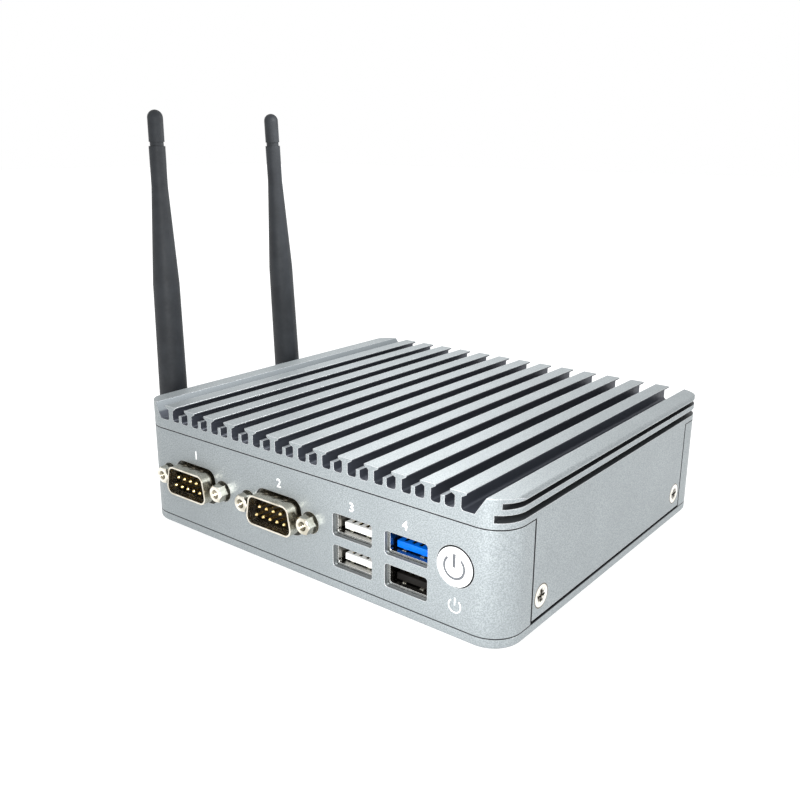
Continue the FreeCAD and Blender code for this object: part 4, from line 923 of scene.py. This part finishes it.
class Finishes:
    """Every finish of the computer, made once and kept by its name."""

    def __init__(self) -> None:
        """Build the materials."""
        black = (0.006, 0.0055, 0.005)
        nickel = ((0.74, 0.70, 0.61), (0.56, 0.52, 0.43))
        recipes = (
            FinnedAluminium("cover_aluminium"),
            PanelAluminium("panel_aluminium"),
            BlastedAluminium(
                "block_aluminium", (0.62, 0.63, 0.64), (0.52, 0.53, 0.54), metal=0.9
            ),
            PlatedMetal("port_nickel", *nickel),
            ShellNickel("shell_nickel", *nickel),
            SocketNickel("socket_nickel", (0.80, 0.77, 0.70), (0.62, 0.59, 0.52)),
            # painted highlight: the lips' nickel is far brighter than the shells'; its paint
            # also lays painted shade outside the mouths and inside
            SocketNickel(
                "lip_nickel",
                (0.98, 0.97, 0.93),
                (0.92, 0.90, 0.85),
                rim_y=59.34 * MM,
                mouths=((6.8 * MM, 14.0 * MM), (16.0 * MM, 23.3 * MM)),
            ),
            # painted reflection: the wide spread from colour to shade, laid by the stain
            # pattern, mimics reflections on the jackscrews
            PlatedMetal("jack_nickel", (0.86, 0.83, 0.74), (0.48, 0.45, 0.37), 0.2),
            # painted shade: a darker copy of the nickel, for the shade in the jackscrews'
            # bores
            PlatedMetal("thread_nickel", (0.46, 0.42, 0.33), (0.20, 0.18, 0.13), 0.22),
            ScrewNickel("side_nickel", (0.90, 0.88, 0.82), (0.74, 0.71, 0.63), 0.28),
            PlatedMetal("screw_steel", (0.78, 0.76, 0.71), (0.62, 0.60, 0.55), 0.28),
            PlatedMetal("contact_gold", (0.90, 0.70, 0.34), (0.76, 0.55, 0.22), 0.20),
            PlatedMetal("standoff_brass", (0.74, 0.56, 0.27), (0.58, 0.43, 0.20), 0.26),
            PlatedMetal("pivot_steel", (0.34, 0.34, 0.35), (0.24, 0.24, 0.25), 0.3),
            PlatedMetal("cell_steel", (0.66, 0.66, 0.65), (0.56, 0.56, 0.55), 0.3),
            MouldedPlastic("socket_plastic", black, (0.012, 0.011, 0.010), shine=0.15),
            MouldedPlastic("video_blue", (0.01, 0.04, 0.25), (0.008, 0.03, 0.2)),
            MouldedPlastic(
                "tongue_blue", (0.0, 0.13, 0.66), (0.0, 0.10, 0.54), 0.3, shine=0.2
            ),
            MouldedPlastic("tongue_white", (0.95, 0.96, 0.94), (0.88, 0.89, 0.87), 0.3),
            ButtonPlastic("button_white", (0.92, 0.93, 0.93), (0.88, 0.89, 0.89), 0.32),
            MouldedPlastic(
                "antenna_black",
                (0.013, 0.015, 0.018),
                (0.019, 0.022, 0.026),
                0.55,
                0.35,
                shine=0.3,
            ),
            MouldedPlastic("foot_rubber", (0.02, 0.02, 0.021), (0.03, 0.03, 0.03), 0.8, 0.6),
            MouldedPlastic(
                "thermal_pad_grey", (0.30, 0.31, 0.33), (0.26, 0.27, 0.29), 0.8, 0.5
            ),
            MouldedPlastic("chip_plastic", (0.03, 0.032, 0.035), (0.04, 0.042, 0.045), 0.5),
            CircuitBoard("circuit_board"),
            PrintedInk("white_ink", (0.95, 0.96, 0.96), (0.80, 0.82, 0.84)),
            PrintedInk("grey_ink", (0.085, 0.09, 0.10), (0.13, 0.14, 0.15)),
        )
        self.made = {recipe.name: recipe.build() for recipe in recipes}

    def __getitem__(self, name: str) -> bpy.types.Material:
        """Return a finish by name."""
        return self.made[name]


# ---- pieces ----


class Stock:
    """A mesh under construction that becomes one riding piece."""

    def __init__(self, name: str) -> None:
        """Start an empty mesh.

        Args:
            name: The piece's name.
        """
        self.name = name
        self.shape = bmesh.new()

    def move(self, verts: Iterable[bmesh.types.BMVert], matrix: Matrix) -> None:
        """Transform some vertices."""
        bmesh.ops.transform(self.shape, verts=list(verts), matrix=matrix)

    def block(self, low: Sequence[float], high: Sequence[float]) -> set[bmesh.types.BMEdge]:
        """Add a box between two corners.

        Args:
            low: The lowest corner.
            high: The highest corner.

        Returns:
            The new edges.
        """
        span = [top - bottom for bottom, top in zip(low, high)]
        middle = [(top + bottom) / 2 for bottom, top in zip(low, high)]
        matrix = Matrix.Translation(middle) @ Matrix.Diagonal((*span, 1.0))
        verts = bmesh.ops.create_cube(self.shape, size=1.0, matrix=matrix)["verts"]
        return {edge for vert in verts for edge in vert.link_edges}

    def bevel(self, edges: Iterable[bmesh.types.BMEdge], offset: float, segments: int) -> None:
        """Round some edges.

        Args:
            edges: The edges.
            offset: The width of the bevel.
            segments: The number of steps across it.
        """
        bmesh.ops.bevel(
            self.shape,
            geom=list(edges),
            offset=offset,
            segments=segments,
            affect="EDGES",
            profile=0.5,
            material=-1,
        )

    def swept(
        self,
        profile: Sequence[Sequence[float]],
        centre: Sequence[float],
        axis: Sequence[float],
        degrees: float = 360.0,
        steps: int = 32,
    ) -> None:
        """Sweep a closed profile round an axis.

        Args:
            profile: The corners of the profile.
            centre: A point on the axis.
            axis: The axis.
            degrees: How far round it goes.
            steps: The number of steps.
        """
        corners = [self.shape.verts.new(corner) for corner in profile]
        face = self.shape.faces.new(corners)
        full = degrees >= 360.0
        geometry = list(face.edges) + corners if full else [face]
        if full:
            self.shape.faces.remove(face)
        bmesh.ops.spin(
            self.shape,
            geom=geometry,
            cent=centre,
            axis=axis,
            angle=math.radians(degrees),
            steps=steps,
            use_merge=full,
        )

    def piece(
        self,
        body: str,
        material: bpy.types.Material,
        slot: str,
        smooth: float | None = None,
    ) -> None:
        """Close the mesh, dress it and let it ride as a piece of the scene.

        Args:
            body: The body that it rides on.
            material: Its finish.
            slot: The record's material slot; not used.
            smooth: The angle in degrees under which edges are smooth, or none.
        """
        bmesh.ops.remove_doubles(self.shape, verts=self.shape.verts, dist=MERGE_DISTANCE)
        bmesh.ops.recalc_face_normals(self.shape, faces=self.shape.faces)
        mesh = bpy.data.meshes.new(self.name)
        self.shape.to_mesh(mesh)
        self.shape.free()
        piece = bpy.data.objects.new(self.name, mesh)
        bpy.context.scene.collection.objects.link(piece)
        dress(piece, material)
        if smooth is not None:
            mesh.shade_smooth()
            mesh.set_sharp_from_angle(angle=math.radians(smooth))
        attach(piece, body)
        LOG.info("piece %s: %d faces on %s", self.name, len(mesh.polygons), body)


def dress(node: bpy.types.Object, material: bpy.types.Material) -> None:
    """Give an object a single material.

    Args:
        node: The object.
        material: Its finish.
    """
    if not node.material_slots:
        node.data.materials.append(material)
    for slot in node.material_slots:
        slot.material = material


@dataclass
class SubAssembly:
    """Some of the computer's nodes, with pieces of their own."""

    frame: dict
    finishes: Finishes
    names: tuple[str, ...] = ()
    own: tuple[tuple[str, str], ...] = ()

    def dress(self) -> None:
        """Give each node its own finish, or that of its material slot."""
        subparts = self.frame["record"]["subparts"]
        slots = {part["node"]: part["material_slot"] for part in subparts}
        slots.update(self.own)
        for name in self.names:
            dress(self.frame["nodes"][name], self.finishes[slots[name]])
        LOG.info("%s: %d nodes dressed", type(self).__name__, len(self.names))

    def build(self) -> None:
        """Model the pieces of this sub-assembly."""


@dataclass
class PowerMark:
    """A ring open at its top, with a bar in the gap."""

    radius: float
    line: float
    bar_low: float
    bar_high: float
    bar_line: float
    half_gap_degrees: float = 40.0
    thick: float = 0.03 * MM
    steps: int = 40
    bevel_share: float = 1 / 3
    bevel_segments: int = 2

    def add(self, stock: Stock, centre: Sequence[float]) -> None:
        """Add the mark to a mesh, standing on its centre and facing -Y.

        Args:
            stock: The mesh.
            centre: The ring's centre on the surface.
        """
        x, y, z = centre
        near, far = y - self.thick, y + self.thick
        start = Matrix.Rotation(math.radians(self.half_gap_degrees), 3, "Y")
        profile = []
        for reach, along in (
            (self.radius - self.line / 2, near),
            (self.radius + self.line / 2, near),
            (self.radius + self.line / 2, far),
            (self.radius - self.line / 2, far),
        ):
            corner = start @ Vector((0.0, 0.0, reach))
            profile.append((x + corner.x, along, z + corner.z))
        turn = 360.0 - 2 * self.half_gap_degrees
        stock.swept(profile, (x, y, z), (0, 1, 0), turn, self.steps)
        half = self.bar_line / 2
        low, high = z + self.bar_low, z + self.bar_high
        bar = stock.block((x - half, near, low), (x + half, far, high))
        stock.bevel(bar, half * self.bevel_share, self.bevel_segments)


@dataclass
class Case(SubAssembly):
    """Cover, panels, plate, feet and screws, with the print on the front panel."""

    names: tuple[str, ...] = (
        "top_cover",
        "front_panel",
        "rear_panel",
        "bottom_plate",
        "rubber_feet",
        "side_screws",
        "bottom_screws",
    )
    own: tuple[tuple[str, str], ...] = (("side_screws", "side_nickel"),)
    numeral_bold: float = 0.010
    numeral_extrude: float = 0.01
    numeral_height: float = 2.6 * MM
    numeral_low: float = 24.9 * MM
    numeral_places: tuple[tuple[str, float], ...] = (
        ("1", -42.9 * MM),
        ("2", -7.0 * MM),
        ("3", 20.2 * MM),
        ("4", 38.1 * MM),
    )
    ink_thick: float = 0.02 * MM
    mark: PowerMark = field(
        default_factory=lambda: PowerMark(1.8 * MM, 0.27 * MM, 0.2 * MM, 2.2 * MM, 0.27 * MM)
    )
    mark_place: Pair = (53.8 * MM, 9.1 * MM)

    def build(self) -> None:
        """Print the numerals and the power mark on the front panel."""
        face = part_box("front_panel")[0][1]
        stock = Stock("port_numerals")
        for text, across in self.numeral_places:
            self.print_numeral(stock, text, (across, face, self.numeral_low))
        stock.piece("computer", self.finishes["white_ink"], "button_white")
        stock = Stock("printed_power_mark")
        self.mark.add(stock, (self.mark_place[0], face, self.mark_place[1]))
        stock.piece("computer", self.finishes["white_ink"], "button_white")

    def print_numeral(self, stock: Stock, text: str, place: Sequence[float]) -> None:
        """Add a numeral that faces -Y.

        Args:
            stock: The mesh that it is added to.
            text: The numeral.
            place: The middle of its foot.
        """
        curve = bpy.data.curves.new(f"numeral_{text}", "FONT")
        curve.body = text
        curve.extrude = self.numeral_extrude
        curve.offset = self.numeral_bold
        writing = bpy.data.objects.new(f"numeral_{text}", curve)
        bpy.context.scene.collection.objects.link(writing)
        graph = bpy.context.evaluated_depsgraph_get()
        mesh = bpy.data.meshes.new_from_object(writing.evaluated_get(graph))
        bpy.data.objects.remove(writing)
        bpy.data.curves.remove(curve)
        known = set(stock.shape.verts)
        stock.shape.from_mesh(mesh)
        bpy.data.meshes.remove(mesh)
        fresh = [vert for vert in stock.shape.verts if vert not in known]
        low = Vector(min(vert.co[axis] for vert in fresh) for axis in range(3))
        high = Vector(max(vert.co[axis] for vert in fresh) for axis in range(3))
        scale = self.numeral_height / (high.y - low.y)
        foot = Vector(((low.x + high.x) / 2, low.y, (low.z + high.z) / 2))
        depth = 2 * self.ink_thick / (high.z - low.z)
        matrix = (
            Matrix.Translation(place)
            @ Matrix.Rotation(math.radians(90), 4, "X")
            @ Matrix.Diagonal((scale, scale, depth, 1.0))
            @ Matrix.Translation(-foot)
        )
        stock.move(fresh, matrix)


@dataclass
class PowerButton(SubAssembly):
    """The push button with its mark, and the switch behind it."""

    names: tuple[str, ...] = (
        "power_button",
        "button_housing",
        "button_switch",
        "button_board",
    )
    mark: PowerMark = field(
        default_factory=lambda: PowerMark(2.97 * MM, 0.7 * MM, 0.0, 3.6 * MM, 0.85 * MM)
    )

    def build(self) -> None:
        """Print the mark on the button's face."""
        low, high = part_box("power_button")
        stock = Stock("button_power_mark")
        middle = ((low[0] + high[0]) / 2, low[1], (low[2] + high[2]) / 2)
        self.mark.add(stock, middle)
        stock.piece("power_button", self.finishes["grey_ink"], "button_white")


@dataclass
class SerialPorts(SubAssembly):
    """The D-shell ports with their pins and jackscrews."""

    names: tuple[str, ...] = (
        "serial_1_shell",
        "serial_1_insert",
        "serial_1_pins",
        "serial_2_shell",
        "serial_2_insert",
        "serial_2_pins",
        "video_shell",
        "video_insert",
        "jackscrews",
    )
    own: tuple[tuple[str, str], ...] = (
        ("serial_1_shell", "shell_nickel"),
        ("serial_2_shell", "shell_nickel"),
        ("video_shell", "shell_nickel"),
        ("jackscrews", "jack_nickel"),
    )
    jack_spacing: float = 24.99 * MM
    bore_radius: float = 1.4 * MM
    thread_depth: float = 0.26 * MM
    thread_pitch: float = 0.64 * MM
    thread_count: int = 5
    thread_steps: int = 20
    smooth_degrees: float = 20

    def build(self) -> None:
        """Turn the threads in the jackscrews' bores."""
        stock = Stock("jack_threads")
        low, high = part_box("jackscrews")
        for shell, face, inward in (
            ("serial_1_shell", low[1], 1),
            ("serial_2_shell", low[1], 1),
            ("video_shell", high[1], -1),
        ):
            left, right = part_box(shell)
            middle = (left[0] + right[0]) / 2
            height = (left[2] + right[2]) / 2
            for side in (-0.5, 0.5):
                centre = (middle + side * self.jack_spacing, face, height)
                self.add_thread(stock, centre, inward)
        nickel = self.finishes["thread_nickel"]
        stock.piece("computer", nickel, "port_nickel", self.smooth_degrees)

    def add_thread(self, stock: Stock, centre: Sequence[float], inward: int) -> None:
        """Add the thread's ridges in one bore.

        Args:
            stock: The mesh.
            centre: The middle of the screw's face.
            inward: The way along Y into the bore.
        """
        x, face, z = centre
        for turn in range(self.thread_count):
            root = face + inward * self.thread_pitch * (turn + 0.5)
            half = self.thread_pitch * 0.5
            outer = x + self.bore_radius
            profile = (
                (outer, root - half, z),
                (outer, root + half, z),
                (outer - self.thread_depth, root, z),
            )
            stock.swept(profile, centre, (0, 1, 0), 360.0, self.thread_steps)


@dataclass
class UsbStacks(SubAssembly):
    """The two double USB sockets with their contact springs and lips."""

    names: tuple[str, ...] = (
        "usb_left_shell",
        "usb_right_shell",
        "usb_left_tongues",
        "usb_right_upper_tongue",
        "usb_right_lower_tongue",
        "usb_contacts",
    )
    own: tuple[tuple[str, str], ...] = (
        ("usb_left_shell", "socket_nickel"),
        ("usb_right_shell", "socket_nickel"),
    )
    floors: Pair = (7.8 * MM, 17.05 * MM)
    spring_reach: float = 2.9 * MM
    spring_width: float = 1.2 * MM
    spring_start: float = 0.5 * MM
    spring_length: float = 1.7 * MM
    spring_rise: float = 0.45 * MM
    spring_thick: float = 0.12 * MM
    spring_steps: int = 8
    mouth: Pair = (12.6 * MM, 5.2 * MM)
    lip_wall: float = 0.62 * MM
    lip_length: float = 0.95 * MM
    lip_sink: float = 0.05 * MM
    lip_corner: float = 0.6 * MM
    lip_segments: int = 4
    cap_facing: float = 0.9
    level: float = 0.01 * MM
    smooth_degrees: float = 30

    def build(self) -> None:
        """Make the springs and the lips."""
        self.build_springs()
        self.build_lips()

    def build_springs(self) -> None:
        """Bend the springs on the floor of each mouth."""
        stock = Stock("usb_springs")
        for shell in ("usb_left_shell", "usb_right_shell"):
            low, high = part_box(shell)
            middle = (low[0] + high[0]) / 2
            for floor in self.floors:
                for side in (-1, 1):
                    across = middle + side * self.spring_reach
                    self.add_spring(stock, (across, low[1] + self.spring_start, floor))
        nickel = self.finishes["jack_nickel"]
        stock.piece("computer", nickel, "port_nickel", self.smooth_degrees)

    def build_lips(self) -> None:
        """Roll the lip, painted brighter than the shells' nickel as a highlight, in front of
        each mouth.
        """
        nickel = self.finishes["lip_nickel"]
        for shell in ("usb_left", "usb_right"):
            low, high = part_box(f"{shell}_shell")
            middle = (low[0] + high[0]) / 2
            for level, floor in zip(("lower", "upper"), self.floors):
                stock = Stock(f"{shell}_{level}_lip")
                self.add_lip(stock, (middle, low[1] + self.lip_sink, floor))
                stock.piece("computer", nickel, "port_nickel", self.smooth_degrees)

    def add_lip(self, stock: Stock, place: Sequence[float]) -> None:
        """Add one round-cornered lip.

        Args:
            stock: The mesh.
            place: The middle of the mouth's floor, at the lip's back.
        """
        x, back, floor = place
        width, height = self.mouth
        edges = stock.block(
            (x - width / 2, back - self.lip_length, floor),
            (x + width / 2, back, floor + height),
        )
        ahead = [
            edge for edge in edges if abs(edge.verts[0].co.y - edge.verts[1].co.y) > self.level
        ]
        stock.bevel(ahead, self.lip_corner, self.lip_segments)
        stock.shape.normal_update()
        faces = list(stock.shape.faces)
        caps = [face for face in faces if abs(face.normal.y) > self.cap_facing]
        walls = [face for face in faces if abs(face.normal.y) <= self.cap_facing]
        bmesh.ops.delete(stock.shape, geom=caps, context="FACES_ONLY")
        bmesh.ops.solidify(stock.shape, geom=walls, thickness=-self.lip_wall)

    def add_spring(self, stock: Stock, start: Sequence[float]) -> None:
        """Add one bowed leaf spring.

        Args:
            stock: The mesh.
            start: The middle of its front end, on the mouth's floor.
        """
        x, y, z = start
        before = set(stock.shape.faces)
        half = self.spring_width / 2
        corner = stock.shape.verts.new((x - half, y, z))
        other = stock.shape.verts.new((x + half, y, z))
        strip = [stock.shape.edges.new((corner, other))]
        step = self.spring_length / self.spring_steps
        for number in range(1, self.spring_steps + 1):
            made = bmesh.ops.extrude_edge_only(stock.shape, edges=strip)["geom"]
            verts = [item for item in made if isinstance(item, bmesh.types.BMVert)]
            strip = [item for item in made if isinstance(item, bmesh.types.BMEdge)]
            lift = math.sin(math.pi * number / self.spring_steps) * self.spring_rise
            for vert in verts:
                vert.co.y = y + step * number
                vert.co.z = z + lift
        leaf = [face for face in stock.shape.faces if face not in before]
        bmesh.ops.recalc_face_normals(stock.shape, faces=leaf)
        bmesh.ops.solidify(stock.shape, geom=leaf, thickness=self.spring_thick)


@dataclass
class RearPorts(SubAssembly):
    """Network, HDMI, audio and power sockets at the back."""

    names: tuple[str, ...] = (
        "lan_ports",
        "lan_contacts",
        "hdmi_shell",
        "hdmi_tongue",
        "audio_jack",
        "power_jack",
        "power_jack_pin",
    )


@dataclass
class Antennas(SubAssembly):
    """Two tilting antennas on threaded connectors."""

    names: tuple[str, ...] = (
        "antenna_nuts",
        "front_antenna_connector",
        "front_antenna_base",
        "front_antenna_pivot",
        "front_antenna_mast",
        "rear_antenna_connector",
        "rear_antenna_base",
        "rear_antenna_pivot",
        "rear_antenna_mast",
    )


@dataclass
class Inside(SubAssembly):
    """The mainboard and all that it carries."""

    names: tuple[str, ...] = (
        "mainboard",
        "board_standoffs",
        "board_screws",
        "processor",
        "thermal_pad",
        "heat_block",
        "memory_socket",
        "memory_module",
        "storage_socket",
        "storage_card",
        "wireless_socket",
        "wireless_card",
        "card_standoffs",
        "card_screws",
        "coin_cell_holder",
        "coin_cell",
    )


# ---- the studio ----


@dataclass(frozen=True)
class Lamp:
    """A square soft light that faces a target."""

    name: str
    place: Triple
    target: Triple
    size: float
    power: float


@dataclass
class Studio:
    """Floor, lights and camera."""

    camera_place: Triple = (0.16372, -0.22324, 0.11960)
    yaw: float = 0.66589
    pitch: float = 0.28685
    roll: float = 0.00677
    lens_mm: float = 39.91
    sensor_mm: float = 36.0
    clip_start: float = 0.01
    floor_half: float = 3.0
    world: Colour = (1.0, 1.0, 1.0)
    world_strength: float = 1.0
    lamps: tuple[Lamp, ...] = (
        Lamp("ceiling", (-0.025, 0.03, 0.14), (0.0, 0.02, 0.0), 0.08, 0.20),
        Lamp("front", (0.072, -0.16, 0.07), (0.04, -0.06, 0.015), 0.06, 0.24),
        Lamp("side", (0.30, 0.0, 0.06), (0.068, 0.0, 0.02), 0.15, 0.26),
    )

    def build(self, low: float) -> None:
        """Make the studio.

        Args:
            low: The height of the floor.
        """
        self.build_floor(low)
        self.build_lights()
        self.build_camera()
        LOG.info("studio: floor at %.4f m, %d lights", low, len(self.lamps))

    def build_floor(self, low: float) -> None:
        """Make a pale floor under the feet.

        Args:
            low: The height of the floor.
        """
        shape = bmesh.new()
        bmesh.ops.create_grid(shape, x_segments=1, y_segments=1, size=self.floor_half)
        bmesh.ops.translate(shape, verts=shape.verts, vec=(0, 0, low))
        mesh = bpy.data.meshes.new("floor")
        shape.to_mesh(mesh)
        shape.free()
        floor = bpy.data.objects.new("floor", mesh)
        bpy.context.scene.collection.objects.link(floor)
        dress(floor, Backdrop().build())
        floor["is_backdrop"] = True

    def build_lights(self) -> None:
        """Make the soft lights and the even sky."""
        for each in self.lamps:
            data = bpy.data.lights.new(each.name, "AREA")
            data.shape = "SQUARE"
            data.size = each.size
            data.energy = each.power
            lamp = bpy.data.objects.new(each.name, data)
            lamp.location = each.place
            lamp.visible_camera = False
            ahead = Vector(each.target) - Vector(each.place)
            lamp.rotation_euler = ahead.to_track_quat("-Z", "Y").to_euler()
            bpy.context.scene.collection.objects.link(lamp)
        sky = bpy.data.worlds.new("sky")
        sky.use_nodes = True
        background = sky.node_tree.nodes["Background"]
        background.inputs["Color"].default_value = (*self.world, 1.0)
        background.inputs["Strength"].default_value = self.world_strength
        bpy.context.scene.world = sky
        bpy.context.scene.view_settings.view_transform = "Standard"

    def build_camera(self) -> None:
        """Make the camera."""
        data = bpy.data.cameras.new("camera")
        data.lens = self.lens_mm
        data.sensor_width = self.sensor_mm
        data.clip_start = self.clip_start
        camera = bpy.data.objects.new("camera", data)
        sine, cosine = math.sin(self.yaw), math.cos(self.yaw)
        level = math.cos(self.pitch)
        ahead = Vector((-sine * level, cosine * level, -math.sin(self.pitch)))
        right = Vector((cosine, sine, 0.0))
        above = right.cross(ahead)
        tilt = Matrix.Rotation(-self.roll, 3, ahead)
        right, above = tilt @ right, tilt @ above
        turn = Matrix((right, above, -ahead)).transposed().to_4x4()
        camera.matrix_world = Matrix.Translation(self.camera_place) @ turn
        bpy.context.scene.collection.objects.link(camera)
        bpy.context.scene.camera = camera


def main() -> None:
    """Load the frame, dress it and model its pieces."""
    logging.basicConfig(level=logging.INFO, format="%(name)s: %(message)s")
    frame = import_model()
    packed_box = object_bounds()
    finishes = Finishes()
    Studio().build(packed_box[0][2])
    parts = (Case, PowerButton, SerialPorts, UsbStacks, RearPorts, Antennas, Inside)
    for kind in parts:
        part = kind(frame, finishes)
        part.dress()
        part.build()


if __name__ == "__main__":
    main()
